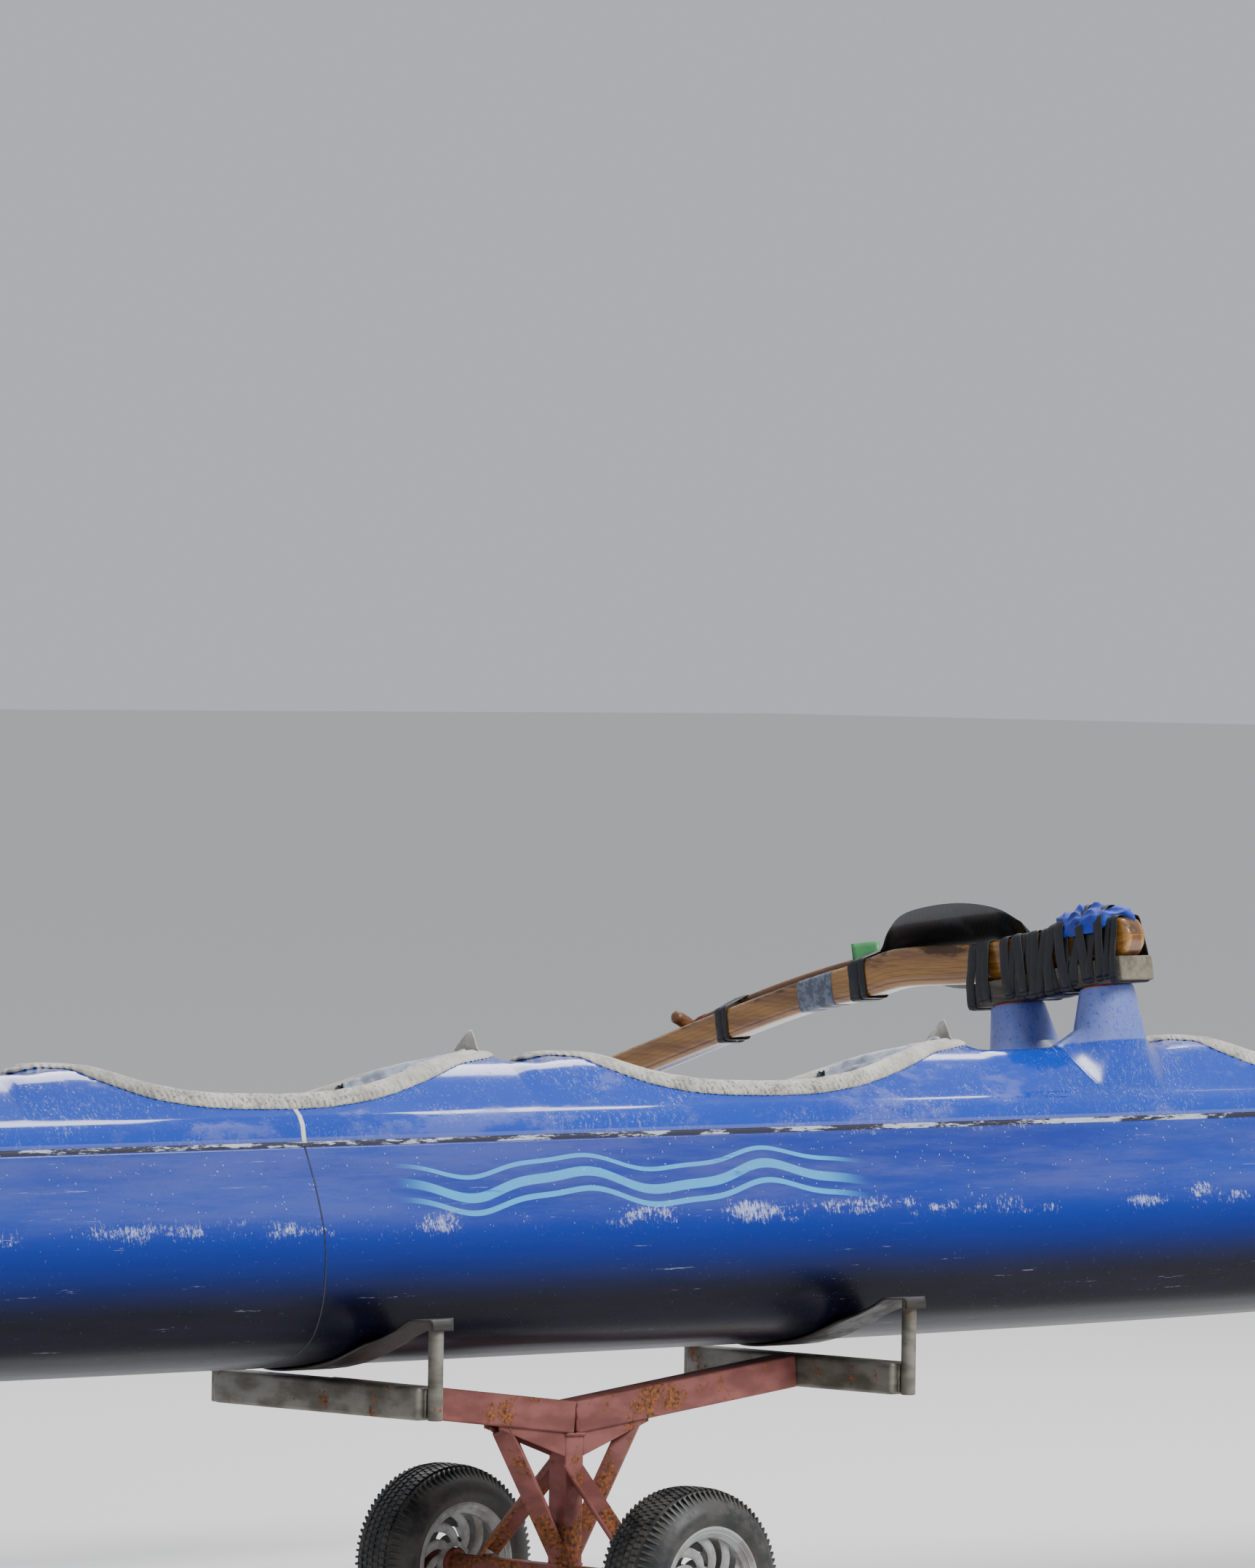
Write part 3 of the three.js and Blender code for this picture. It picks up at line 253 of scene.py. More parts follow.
def deck_half(x, smooth_rows=15):
    """Half a deck section, from the seam to the crown or to a cockpit's rim."""
    crown, arch = read(DECK_FORMS, x), read(DECK_FORMS, x, 2)
    low = min(1, crown / DECK_HEIGHT)
    beam = half_beam(x)
    aft = cockpit_at(x)
    inset = CREASE_INSET * min(1, beam / 60)
    if aft is not None:
        inset *= 0.45 + 0.55 * ease(abs((x - aft) / COCKPIT_LENGTH - 0.42), 0.12, 0.34)
    shoulder = (beam - inset, (GUNWALE_BAND + CREASE_RISE) * low)
    inner = (0.38 * beam, crown * (0.99 - 0.09 * arch))
    top = [shoulder, (0.62 * beam, crown * (0.93 - 0.2 * arch)), inner, (0, crown)]
    line = smooth_line(top, 8, after=(-inner[0], inner[1]))
    if aft is not None:
        height = min(read(RIM_LINE, x - aft), crown)
        cut = []
        for a, b in zip(line, line[1:]):
            cut.append(a)
            if b.y >= height and x not in (aft, aft + COCKPIT_LENGTH):
                cut.append(a.lerp(b, min(max((height - a.y) / max(b.y - a.y, 1e-6), 0), 1)))
                break
        else:
            cut.append(line[-1])
        line = cut
    band = GUNWALE_BAND * low
    edge = [(beam, 0), (beam, band * 0.5), (beam, band * 0.9), (beam - inset * 0.1, band + 1)]
    edge += [(beam - inset * 0.9, shoulder[1] - 1)]
    half = [Vector(p) for p in edge] + spaced(line, smooth_rows)
    seam = seam_height(x)
    return [Vector((p.x, p.y + seam + deck_fillet(x, p.x) * ease(p.y, 30, 120))) for p in half]


def deck_stations():
    """Stations along the deck, close together round the cockpits and the pedestals."""
    stations = set()
    for aft in COCKPIT_AFT_ENDS:
        for i in range(37):
            share = 0.5 - 0.5 * math.cos(math.pi * i / 36)
            stations.add(round(aft + COCKPIT_LENGTH * share, 3))
    ends = sorted([-HALF_LENGTH, HALF_LENGTH, *stations])
    for before, after in zip(ends, ends[1:]):
        span = after - before
        if span > 100:
            count = round(span / (22 if span < 700 else 75))
            stations.update(before + span * i / count for i in range(count + 1))
    return sorted(stations | {-HALF_LENGTH, HALF_LENGTH})


def beam_at(port):
    """Centre height and depth of a beam at a distance to port, in a smooth sweep."""
    return read(BEAM_SWEEP, port) + BEAM_MIDDLE, read(BEAM_SWEEP, port, 2)


BEAM_SWEEP = smooth_line(BEAM_LINE, 4)


def surface(columns, rows, place, chart=None, weld=0.0):
    """A grid of quads. place gives each corner's point and chart its two numbers for the material."""
    bm = bmesh.new()
    layer = bm.loops.layers.uv.new("chart")
    bmesh.ops.create_grid(bm, x_segments=columns, y_segments=rows, size=0.5)
    spots = {
        v: (round((v.co.x + 0.5) * columns), round((v.co.y + 0.5) * rows)) for v in bm.verts
    }
    if chart:
        for face in bm.faces:
            for loop in face.loops:
                loop[layer].uv = chart(*spots[loop.vert])
    for vert, (i, j) in spots.items():
        vert.co = place(i, j)
    if weld:
        bmesh.ops.remove_doubles(bm, verts=bm.verts[:], dist=weld)
    return bm


def joined(parts):
    """Several shapes as one."""
    whole = bmesh.new()
    whole.loops.layers.uv.new("chart")
    for part in parts:
        copy = bpy.data.meshes.new("part")
        part.to_mesh(copy)
        part.free()
        whole.from_mesh(copy)
        bpy.data.meshes.remove(copy)
    return whole


def outwards(bm):
    """Turns the faces of closed shapes outwards."""
    bmesh.ops.recalc_face_normals(bm, faces=bm.faces[:])
    return bm


def capped(bm):
    """Closes the open ends of a tube."""
    bmesh.ops.holes_fill(bm, edges=[e for e in bm.edges if e.is_boundary])
    return outwards(bm)


def plate(outline, thickness):
    """A flat plate, extruded from its outline."""
    bm = bmesh.new()
    face = bm.faces.new([bm.verts.new(p) for p in outline])
    moved = bmesh.ops.extrude_face_region(bm, geom=[face])["geom"]
    far = [v for v in moved if isinstance(v, bmesh.types.BMVert)]
    bmesh.ops.translate(bm, verts=far, vec=thickness)
    return outwards(bm)


def facing(bm, away_from):
    """Turns an open sheet so that its faces look away from the point that goes with each."""
    bm.normal_update()
    total = 0.0
    for face in bm.faces:
        spot = face.calc_center_median()
        total += (spot - Vector(away_from(spot))).dot(face.normal) * face.calc_area()
    if total < 0:
        bmesh.ops.reverse_faces(bm, faces=bm.faces[:])
    return bm


def bevelled(bm, offset, segments=2, angle=30):
    """Rounds the edges that are sharper than an angle."""
    bm.normal_update()
    least = math.radians(angle)
    sharp = [e for e in bm.edges if len(e.link_faces) == 2 and e.calc_face_angle() > least]
    bmesh.ops.bevel(
        bm, geom=sharp, offset=offset, offset_type="OFFSET", segments=segments,
        profile=0.5, affect="EDGES", material=-1, clamp_overlap=True,
    )
    return bm


def bar(size, place, offset=3.0, segments=2):
    """A rounded rectangular bar of a size, centred and put in its place."""
    bm = bmesh.new()
    bmesh.ops.create_cube(bm, size=1, matrix=Matrix.Diagonal((*size, 1)), calc_uvs=False)
    bevelled(bm, offset, segments)
    bm.transform(place)
    return bm


def rod(radius, start, end, sides):
    """A round bar from one point to another, with softened ends."""
    start, end = Vector(start), Vector(end)
    turn = (end - start).to_track_quat("Z", "Y").to_matrix().to_4x4()
    place = Matrix.Translation((start + end) / 2) @ turn
    bm = bmesh.new()
    bmesh.ops.create_cone(
        bm, cap_ends=True, cap_tris=False, segments=sides, radius1=radius, radius2=radius,
        depth=(end - start).length,
    )
    bevelled(bm, min(radius * 0.18, 2.5), 2, 50)
    bm.transform(place)
    return bm


def turned(profile, port, steps):
    """A closed profile of radius and width, spun round the wheel's axle."""
    bm = bmesh.new()
    verts = [bm.verts.new((0, port + w, AXLE_HEIGHT + r)) for r, w in profile]
    edges = [bm.edges.new(pair) for pair in zip(verts, [*verts[1:], verts[0]])]
    bmesh.ops.spin(
        bm, geom=verts + edges, cent=(0, port, AXLE_HEIGHT), axis=(0, 1, 0),
        angle=2 * math.pi, steps=steps, use_merge=True, use_duplicate=False,
    )
    bmesh.ops.remove_doubles(bm, verts=bm.verts[:], dist=0.01)
    return outwards(bm)


def tube_along(points, radius, sides=10, flat=1.0):
    """A closed round or flattened band along a line of points."""
    points = [Vector(p) for p in points]

    def place(i, j):
        before, after = points[max(i - 1, 0)], points[min(i + 1, len(points) - 1)]
        along = (after - before).normalized()
        side = along.cross(Vector((0.03, 0.1, 1))).normalized()
        up = side.cross(along)
        angle = 2 * math.pi * j / sides
        size = radius * (0.55 if i in (0, len(points) - 1) else 1)
        return points[i] + size * (side * math.cos(angle) + up * flat * math.sin(angle))

    bm = surface(len(points) - 1, sides, place, lambda i, j: (i * 0.02, j / sides), weld=0.001)
    return capped(bm)


def finished(name, bm, looks, slot, replaces=(), place=AS_CANOE, body=CRAFT, sharp=38, thick=0.0):
    """Puts a shape in its place as a piece that rides on a body. looks names its finishes."""
    bm.transform(place)
    mesh = bpy.data.meshes.new(name)
    bm.to_mesh(mesh)
    bm.free()
    mesh.shade_smooth()
    mesh.set_sharp_from_angle(angle=math.radians(sharp))
    piece = placed(name, mesh)
    for look in (looks,) if isinstance(looks, str) else looks:
        mesh.materials.append(finish(look))
    if thick:
        wall = piece.modifiers.new("wall", "SOLIDIFY")
        wall.thickness, wall.offset = thick, -1
        wall.material_offset = len(mesh.materials) - 1
    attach(piece, body)
    if replaces:
        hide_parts(*replaces)
    return piece


def wobble(point, size, amount, seed):
    """A smooth unevenness for soft pieces. Each of its three directions reads the noise elsewhere."""
    spot = Vector(point) / size + Vector((seed, seed * 1.7, seed * 0.6))
    moves = [noise.noise(spot + Vector((shift, 2 * shift, 5))) for shift in (0, 37.3, 91.7)]
    return Vector(moves) * amount


class Nodes:
    """Adds nodes to a tree. Each value is a number, a colour or another node's output."""

    def __init__(self, tree):
        self.tree = tree

    def feed(self, value, socket):
        if isinstance(value, bpy.types.NodeSocket):
            self.tree.links.new(value, socket)
        else:
            socket.default_value = value

    def add(self, kind, inputs=None, **settings):
        node = self.tree.nodes.new(f"ShaderNode{kind}")
        for name, value in settings.items():
            setattr(node, name, value)
        for name, value in (inputs or {}).items():
            self.feed(value, node.inputs[name])
        return node

    def math(self, operation, *values):
        return self.add("Math", dict(enumerate(values)), operation=operation).outputs[0]

    def times(self, one, other):
        return self.math("MULTIPLY", one, other)

    def most(self, one, other):
        return self.math("MAXIMUM", one, other)

    def away(self, value, centre):
        """How far a value lies from a centre."""
        return self.math("ABSOLUTE", self.math("SUBTRACT", value, centre))

    def ramp(self, value, low, high, start=0.0, end=1.0):
        """A value stretched smoothly from low..high to start..end."""
        inputs = {"Value": value, "From Min": low, "From Max": high, "To Min": start, "To Max": end}
        return self.add("MapRange", inputs, interpolation_type="SMOOTHSTEP").outputs[0]

    def mix(self, share, one, other):
        """Two colours mixed by a mask."""
        node = self.add("Mix", data_type="RGBA")
        for socket, value in ((0, share), (6, one), (7, other)):
            self.feed(value, node.inputs[socket])
        return node.outputs[2]

    def cloud(self, place, scale, detail, **more):
        inputs = {"Vector": place, "Scale": scale, "Detail": detail, **more}
        return self.add("TexNoise", inputs).outputs["Fac"]


def patches(make, given):
    """Soft-edged patches where a noise is over a level."""
    cloud = make.cloud(given["Vector"], given["Scale"], 6.0, Roughness=given["Roughness"])
    low = make.math("SUBTRACT", given["Level"], given["Softness"])
    high = make.math("ADD", given["Level"], given["Softness"])
    return {"Mask": make.ramp(cloud, low, high)}


def spots(make, given):
    """Scattered round spots with uneven edges."""
    bend = make.add("TexNoise", {"Vector": given["Vector"], "Scale": 90.0, "Detail": 2.0})
    shift = make.add(
        "VectorMath", {0: bend.outputs["Color"], 1: (0.012, 0.012, 0.012)}, operation="MULTIPLY",
    )
    place = make.add("VectorMath", {0: given["Vector"], 1: shift.outputs[0]}, operation="ADD")
    cells = make.add("TexVoronoi", {"Vector": place.outputs[0], "Scale": given["Scale"]})
    near = make.ramp(cells.outputs["Distance"], given["Size"], make.times(given["Size"], 0.6))
    chosen = make.add("SeparateColor", {"Color": cells.outputs["Color"]})
    return {"Mask": make.times(near, make.math("LESS_THAN", chosen.outputs[0], given["Share"]))}


def weave(make, given):
    """The height of a plain weave."""
    inputs = {"Vector": given["Vector"], "Scale": given["Scale"], "Distortion": 0.6}
    across, along, up = (
        make.add("TexWave", inputs, bands_direction=axis).outputs["Fac"] for axis in "XYZ"
    )
    return {"Height": make.most(make.most(across, along), up)}


def grain(make, given):
    """Long wood grain: a tone and a height."""
    long = make.add("VectorMath", {0: given["Vector"], 1: given["Stretch"]}, operation="MULTIPLY").outputs[0]
    fibres = make.cloud(long, 60.0, 8.0, Roughness=0.65)
    rings = make.cloud(long, 9.0, 3.0, Distortion=0.8)
    tone = make.math("ADD", make.times(fibres, 0.45), make.times(rings, 0.55))
    return {"Tone": tone, "Height": fibres}


def rust(make, given):
    """Rust that eats a finish: its mask, colour and height."""
    eaten = make.cloud(given["Vector"], given["Scale"], 9.0, Roughness=0.68)
    fine = make.cloud(given["Vector"], 140.0, 4.0)
    low, high = (make.math(way, given["Level"], 0.035) for way in ("SUBTRACT", "ADD"))
    tone = make.add("ValToRGB", {"Fac": fine})
    dark, bright = tone.color_ramp.elements
    dark.position, bright.position = 0.3, 0.72
    dark.color, bright.color = (0.028, 0.014, 0.01, 1), (0.36, 0.115, 0.032, 1)
    return {"Mask": make.ramp(eaten, low, high), "Color": tone.outputs["Color"], "Height": fine}


# Each shared effect's inputs, outputs and builder. None stands for the place that it reads.
EFFECTS = {
    "Patches": (
        {"Vector": None, "Scale": 5.0, "Roughness": 0.6, "Level": 0.5, "Softness": 0.06}, ["Mask"], patches,
    ),
    "Spots": ({"Vector": None, "Scale": 60.0, "Size": 0.4, "Share": 0.5}, ["Mask"], spots),
    "Weave": ({"Vector": None, "Scale": 400.0}, ["Height"], weave),
    "Wood grain": ({"Vector": None, "Stretch": (1.0, 1.0, 1.0)}, ["Tone", "Height"], grain),
    "Rust": ({"Vector": None, "Scale": 12.0, "Level": 0.55}, ["Mask", "Color", "Height"], rust),
}


def shared_effect(name):
    """An effect that several materials use, as a node group that is built once."""
    if name in bpy.data.node_groups:
        return bpy.data.node_groups[name]
    inputs, outputs, build = EFFECTS[name]
    tree = bpy.data.node_groups.new(name, "ShaderNodeTree")
    for label, default in inputs.items():
        kind = "NodeSocketFloat" if isinstance(default, float) else "NodeSocketVector"
        socket = tree.interface.new_socket(name=label, in_out="INPUT", socket_type=kind)
        if default is not None:
            socket.default_value = default
    for label in outputs:
        kind = "NodeSocketColor" if label == "Color" else "NodeSocketFloat"
        tree.interface.new_socket(name=label, in_out="OUTPUT", socket_type=kind)
    entry, end = tree.nodes.new("NodeGroupInput"), tree.nodes.new("NodeGroupOutput")
    for label, value in build(Nodes(tree), entry.outputs).items():
        tree.links.new(value, end.inputs[label])
    return tree


class Finish(Nodes):
    """A material in the making. Spaces in a socket's name are written as underscores."""

    def __init__(self, name, **shader):
        self.material = bpy.data.materials.new(name)
        self.material.use_nodes = True
        super().__init__(self.material.node_tree)
        self.sockets = self.tree.nodes["Principled BSDF"].inputs
        for label, value in shader.items():
            self.sockets[label.replace("_", " ")].default_value = value
        self.place = self.add("TexCoord").outputs["Object"]

    def done(self, **outputs):
        """Links what the shader is given, and hands over the material."""
        for label, value in outputs.items():
            self.tree.links.new(value, self.sockets[label.replace("_", " ")])
        return self.material

    def effect(self, name, place=None, **inputs):
        """Places a shared effect, with this material's own values."""
        node = self.tree.nodes.new("ShaderNodeGroup")
        node.node_tree = shared_effect(name)
        self.feed(self.place if place is None else place, node.inputs["Vector"])
        for label, value in inputs.items():
            self.feed(value, node.inputs[label])
        return node.outputs

    def patches(self, scale, level, softness, roughness=0.6, place=None):
        values = {"Scale": scale, "Roughness": roughness, "Level": level, "Softness": softness}
        return self.effect("Patches", place, **values)["Mask"]

    def spots(self, scale, size, share):
        return self.effect("Spots", Scale=scale, Size=size, Share=share)["Mask"]

    def splashes(self, level):
        """Short upright streaks of drying water; the hull also uses them to paint the sun's glints on wet
        streaks.
        """
        return self.patches(150.0, level, 0.09, 0.85, self.stretched((1.0, 0.45, 0.45), HEELED))

    def stretched(self, scale, turn=(0.0, 0.0, 0.0)):
        return self.add("Mapping", {"Vector": self.place, "Scale": scale, "Rotation": turn}).outputs[0]

    def chart(self):
        """The two numbers of a piece's own chart."""
        chart = self.add("UVMap", uv_map="chart").outputs[0]
        return self.add("SeparateXYZ", {"Vector": chart}).outputs[:2]

    def bump(self, height, strength, distance, under=None):
        inputs = {"Height": height, "Strength": strength, "Distance": distance}
        if under is not None:
            inputs["Normal"] = under
        return self.add("Bump", inputs).outputs[0]


def rgb(*values):
    """A colour from sRGB values of 0 to 255."""
    return tuple(((v / 255 + 0.055) / 1.055) ** 2.4 if v > 10 else v / 3295 for v in values) + (1.0,)


def painted_wave(make, along, up):
    """Three plain swells painted side by side for a metre of the flare."""
    swell, ripple = (make.math("SINE", make.times(along, pace)) for pace in (11.5, 27.0))
    paint = None
    for centre, lift, half in ((0.775, 0.05, 0.026), (0.865, 0.04, 0.012), (0.695, 0.045, 0.015)):
        line = make.math("MULTIPLY_ADD", ripple, lift * 0.25, centre)
        line = make.math("MULTIPLY_ADD", swell, lift, line)
        stroke = make.ramp(make.away(up, line), half, half * 0.8)
        paint = stroke if paint is None else make.most(paint, stroke)
    ends = make.times(make.ramp(along, 0.2, 0.34), make.ramp(along, 1.52, 1.36))
    return make.times(paint, ends)


def hull_finish(blue, underside_shade):
    """Glossy gel coat: painted shade below the knuckle, painted sky light in lighter patches on the flare, a
    salt haze on the flare whose colour also paints the sky's reflection, painted sun glints on wet streaks
    and drops at the knuckle, the seam and the upper side, scuffs and a plain painted wave.
    """
    make = Finish("hull gel coat", Coat_Roughness=0.08, Coat_IOR=1.45, Specular_IOR_Level=0.12)
    along, up = make.chart()
    lengthways = make.stretched((0.35, 3.0, 3.0), HEELED)
    # Painted shade: below the knuckle the colour turns to the near-black underside colour, which stands in
    # for the shade under the hull.
    base = make.mix(make.ramp(up, 0.2, 0.6), underside_shade, blue)
    # Painted sky light: random patches of a lighter blue on the upper flare, which faces up to the sky.
    tone = make.ramp(make.cloud(lengthways, 2.0, 4.0), 0.35, 0.7, 0.0, 0.5)
    base = make.mix(make.times(tone, make.ramp(up, 0.5, 0.72)), base, rgb(24, 66, 168))
    worn = make.ramp(make.patches(14.0, 0.62, 0.06, place=lengthways), 0.0, 1.0, 0.92, 0.35)
    base = make.mix(make.times(painted_wave(make, along, up), worn), base, rgb(58, 164, 220))
    # The haze is partly a salt film that dulls the gloss and partly a painted reflection of the sky, in
    # purple-grey, on the flare.
    haze = make.patches(5.0, 0.5, 0.16, 0.72, lengthways)
    haze = make.times(haze, make.ramp(up, 0.55, 0.68, 0.02, 0.3))
    base = make.mix(haze, base, rgb(104, 106, 158))
    # Painted highlight: pale streaks paint the sun's glints on wet gel coat along the knuckle and the seam,
    # stronger towards the bow.
    near_knuckle = make.ramp(make.away(up, 0.6), 0.13, 0.0)
    near_seam = make.ramp(up, 0.9, 1.0, 0.0, 0.6)
    where = make.times(make.most(near_knuckle, near_seam), make.ramp(along, -2.5, 3.0, 0.55, 1.0))
    wide = make.patches(5.5, 0.5, 0.16, place=make.stretched((1.0, 2.4, 2.4)))
    level = make.ramp(make.times(where, wide), 0.0, 1.0, 0.74, 0.46)
    painted_glint_streaks = make.times(make.splashes(level), make.ramp(where, 0.05, 0.5))
    scuffs = make.patches(3.2, 0.672, 0.03, 0.8, make.stretched((1.1, 26.0, 26.0), HEELED))
    # Painted highlight: small pale spots paint the glints of water drops on the upper hull; the scuffs are
    # real wear.
    painted_drop_glints = make.times(make.spots(110.0, 0.2, 0.16), make.ramp(up, 0.45, 0.7, 0.1, 0.9))
    glints_and_scuffs = make.most(make.times(painted_glint_streaks, 0.7), make.times(scuffs, 0.4))
    glints_and_scuffs = make.most(glints_and_scuffs, make.times(painted_drop_glints, 0.5))
    dull = make.most(haze, glints_and_scuffs)
    shine = make.times(make.ramp(dull, 0.0, 0.5, 0.8, 0.25), make.ramp(up, 0.4, 0.7, 0.04, 1.0))
    under = make.bump(make.cloud(lengthways, 7.0, 2.0), 0.25, 0.004)
    return make.done(
        Base_Color=make.mix(glints_and_scuffs, base, rgb(196, 204, 232)),
        Roughness=make.ramp(dull, 0.0, 0.6, 0.35, 0.6), Coat_Weight=shine,
        Normal=make.bump(make.spots(140.0, 0.3, 0.3), 0.5, 0.0012, under),
    )


def deck_finish(name, blue, film=False):
    """Bright glossy gel coat with pale drops, partly dried spray and partly painted glints of wet drops; a
    film of spray lies on the beams' feet.
    """
    make = Finish(name, Coat_Roughness=0.25 if film else 0.1, Specular_IOR_Level=0.3)
    flat = make.stretched((0.6, 1.4, 1.4), HEELED)
    base = make.mix(make.ramp(make.cloud(flat, 3.0, 5.0), 0.35, 0.68), blue, rgb(14, 62, 172))
    dust = make.times(make.patches(4.0, 0.55, 0.05, 0.7, flat), 0.28)
    base = make.mix(dust, base, rgb(120, 124, 186))
    # The pale drops and streaks are partly dried spray and partly painted glints on wet drops.
    dried, fine = make.spots(120.0, 0.24, 0.2), make.spots(230.0, 0.3, 0.2)
    where = make.patches(7.0, 0.5, 0.1, place=flat)
    marks = make.times(make.most(dried, fine), make.ramp(where, 0.0, 1.0, 0.08, 0.5))
    marks = make.most(marks, make.times(make.splashes(0.6), make.times(where, 0.45)))
    if film:
        spray = make.ramp(make.splashes(0.42), 0.0, 1.0, 0.06, 0.4)
        marks = make.most(marks, make.times(make.ramp(make.chart()[1], 0.118, 0.112), spray))
    dull = make.most(dust, marks)
    under = make.bump(make.cloud(flat, 5.0, 2.0), 0.2, 0.003)
    return make.done(
        Base_Color=make.mix(marks, base, rgb(150, 160, 190) if film else rgb(178, 186, 216)),
        Roughness=make.ramp(dull, 0.0, 0.4, 0.16, 0.5), Coat_Weight=make.ramp(dull, 0.0, 0.4, 0.9, 0.35),
        Normal=make.bump(dried, 0.3, 0.0008, under),
    )


def shell_finish(name, colour, stain):
    """Plain moulded fibreglass with a faint cloth print and stains, as on seats and inside the hull."""
    make = Finish(name, Roughness=0.45)
    print_through = make.effect("Weave", Scale=110.0)["Height"]
    return make.done(
        Base_Color=make.mix(make.times(make.patches(7.0, 0.54, 0.12), 0.5), colour, stain),
        Normal=make.bump(print_through, 0.12, 0.0005),
    )


def cloth_finish(name, pale, shade, damp=0.0, weave_scale=320.0, sheen=0.2, roughness=0.72):
    """Woven cloth with soft soiling, dark mould spots where the piece says it is damp, and painted shade in
    the hollows between puckers where the piece marks them.
    """
    make = Finish(name, Roughness=roughness, Sheen_Weight=sheen)
    base = make.mix(make.patches(11.0, 0.5, 0.2, 0.7), pale, shade)
    if damp:
        level, pucker_shade = (
            make.add("Attribute", attribute_name=label).outputs["Fac"] for label in ("damp", "pucker_shade")
        )
        mould = make.most(make.spots(150.0, 0.5, 0.5), make.spots(62.0, 0.34, 0.4))
        base = make.mix(make.times(mould, make.times(level, damp)), base, rgb(58, 58, 58))
        # Painted shade: dark grey in the hollows between the trim's puckers.
        base = make.mix(make.times(pucker_shade, 0.9), base, rgb(48, 48, 48))
    height = make.effect("Weave", Scale=weave_scale)["Height"]
    under = make.bump(make.cloud(make.place, 45.0, 4.0), 0.5, 0.004)
    return make.done(Base_Color=base, Normal=make.bump(height, 0.25, 0.0006, under))


def laminate_finish():
    """Varnished wood laid up in thin layers, with dark worn patches along its top."""
    make = Finish("varnished laminate", Coat_Roughness=0.12)
    along, up = make.chart()
    wood = make.effect("Wood grain", Stretch=(3.0, 0.22, 3.0))
    base = make.mix(make.ramp(wood["Tone"], 0.36, 0.66), rgb(172, 122, 54), rgb(118, 72, 28))
    glue_line = make.ramp(make.away(make.math("FRACT", make.times(up, 7.0)), 0.5), 0.42, 0.5)
    base = make.mix(make.times(glue_line, 0.7), base, rgb(74, 42, 16))
    worn = make.patches(9.0, 0.5, 0.07, 0.7, make.stretched((3.0, 0.7, 3.0)))
    near = make.times(make.ramp(along, 0.2, 0.28), make.ramp(along, 0.58, 0.5, 0.3, 1.0))
    top = make.times(make.ramp(make.math("MULTIPLY_ADD", near, 0.24, up), 0.78, 1.0), worn)
    return make.done(
        Base_Color=make.mix(make.times(top, 0.85), base, rgb(48, 36, 24)),
        Roughness=make.ramp(top, 0.0, 1.0, 0.25, 0.75), Coat_Weight=make.ramp(top, 0.0, 1.0, 0.8, 0.1),
        Normal=make.bump(wood["Height"], 0.18, 0.0006),
    )


def timber_finish(name, pale, dark, stretch=(3.0, 0.2, 3.0), rough=0.85):
    """Bare wood with open grain, as on the weathered blocks and the paddle's shaft."""
    make = Finish(name, Roughness=rough)
    wood = make.effect("Wood grain", Stretch=stretch)
    base = make.mix(make.ramp(wood["Tone"], 0.38, 0.64), pale, dark)
    stain = make.times(make.patches(13.0, 0.56, 0.1), 0.5)
    return make.done(
        Base_Color=make.mix(stain, base, rgb(52, 46, 40)), Normal=make.bump(wood["Height"], 0.6, 0.0012),
    )


def rubber_finish(name, black, dust, dusty=0.4, rough=0.55, bloom=9.0):
    """Rubber with a dusty bloom, fine creases and rubbed marks."""
    make = Finish(name)
    dusted = make.patches(bloom, 0.52, 0.14, 0.72)
    rubbed = make.patches(22.0, 0.64, 0.03, 0.8, make.stretched((1.0, 1.0, 6.0)))
    base = make.mix(make.times(dusted, dusty), black, dust)
    return make.done(
        Base_Color=make.mix(make.times(rubbed, 0.45), base, dust),
        Roughness=make.ramp(dusted, 0.0, 1.0, rough - 0.15, rough + 0.2),
        Normal=make.bump(make.cloud(make.place, 70.0, 5.0), 0.3, 0.0015),
    )


def carbon_finish():
    """Semi-gloss black composite with a twill that shows in the light."""
    make = Finish("carbon blade", Coat_Weight=0.6, Coat_Roughness=0.1)
    turned_place = make.stretched((1.0, 1.0, 1.0), (0.4, 0.3, 0.78))
    colours = {"Color1": rgb(10, 10, 12), "Color2": rgb(34, 35, 38)}
    twill = make.add("TexChecker", {"Vector": turned_place, "Scale": 420.0, **colours}).outputs
    dust = make.patches(10.0, 0.6, 0.1)
    return make.done(
        Base_Color=make.mix(make.times(dust, 0.25), twill["Color"], rgb(120, 120, 118)),
        Roughness=make.ramp(dust, 0.0, 1.0, 0.28, 0.6), Normal=make.bump(twill["Fac"], 0.05, 0.0003),
    )


def steel_finish(name, paint, faded, rust_level, rough, metal, rust_scale=9.0, low_rust=False):
    """Weathered steel: zinc or primer, stained, chipped and eaten by rust."""
    make = Finish(name)
    stained = make.ramp(make.cloud(make.stretched((1.0, 1.0, 2.2)), 12.0, 6.0), 0.36, 0.66)
    if low_rust:
        height = make.add("SeparateXYZ", {"Vector": make.place}).outputs[2]
        rust_level = make.ramp(height, 0.22, 0.46, rust_level - 0.085, rust_level + 0.02)
    eaten = make.effect("Rust", Scale=rust_scale, Level=rust_level)
    mask = eaten["Mask"]
    shine = {"Metallic": make.ramp(mask, 0.0, 1.0, metal, 0.0)} if metal else {}
    return make.done(
        Base_Color=make.mix(mask, make.mix(stained, paint, faded), eaten["Color"]),
        Roughness=make.ramp(mask, 0.0, 1.0, rough, 0.92),
        Normal=make.bump(make.times(mask, eaten["Height"]), 0.7, 0.002), **shine,
    )


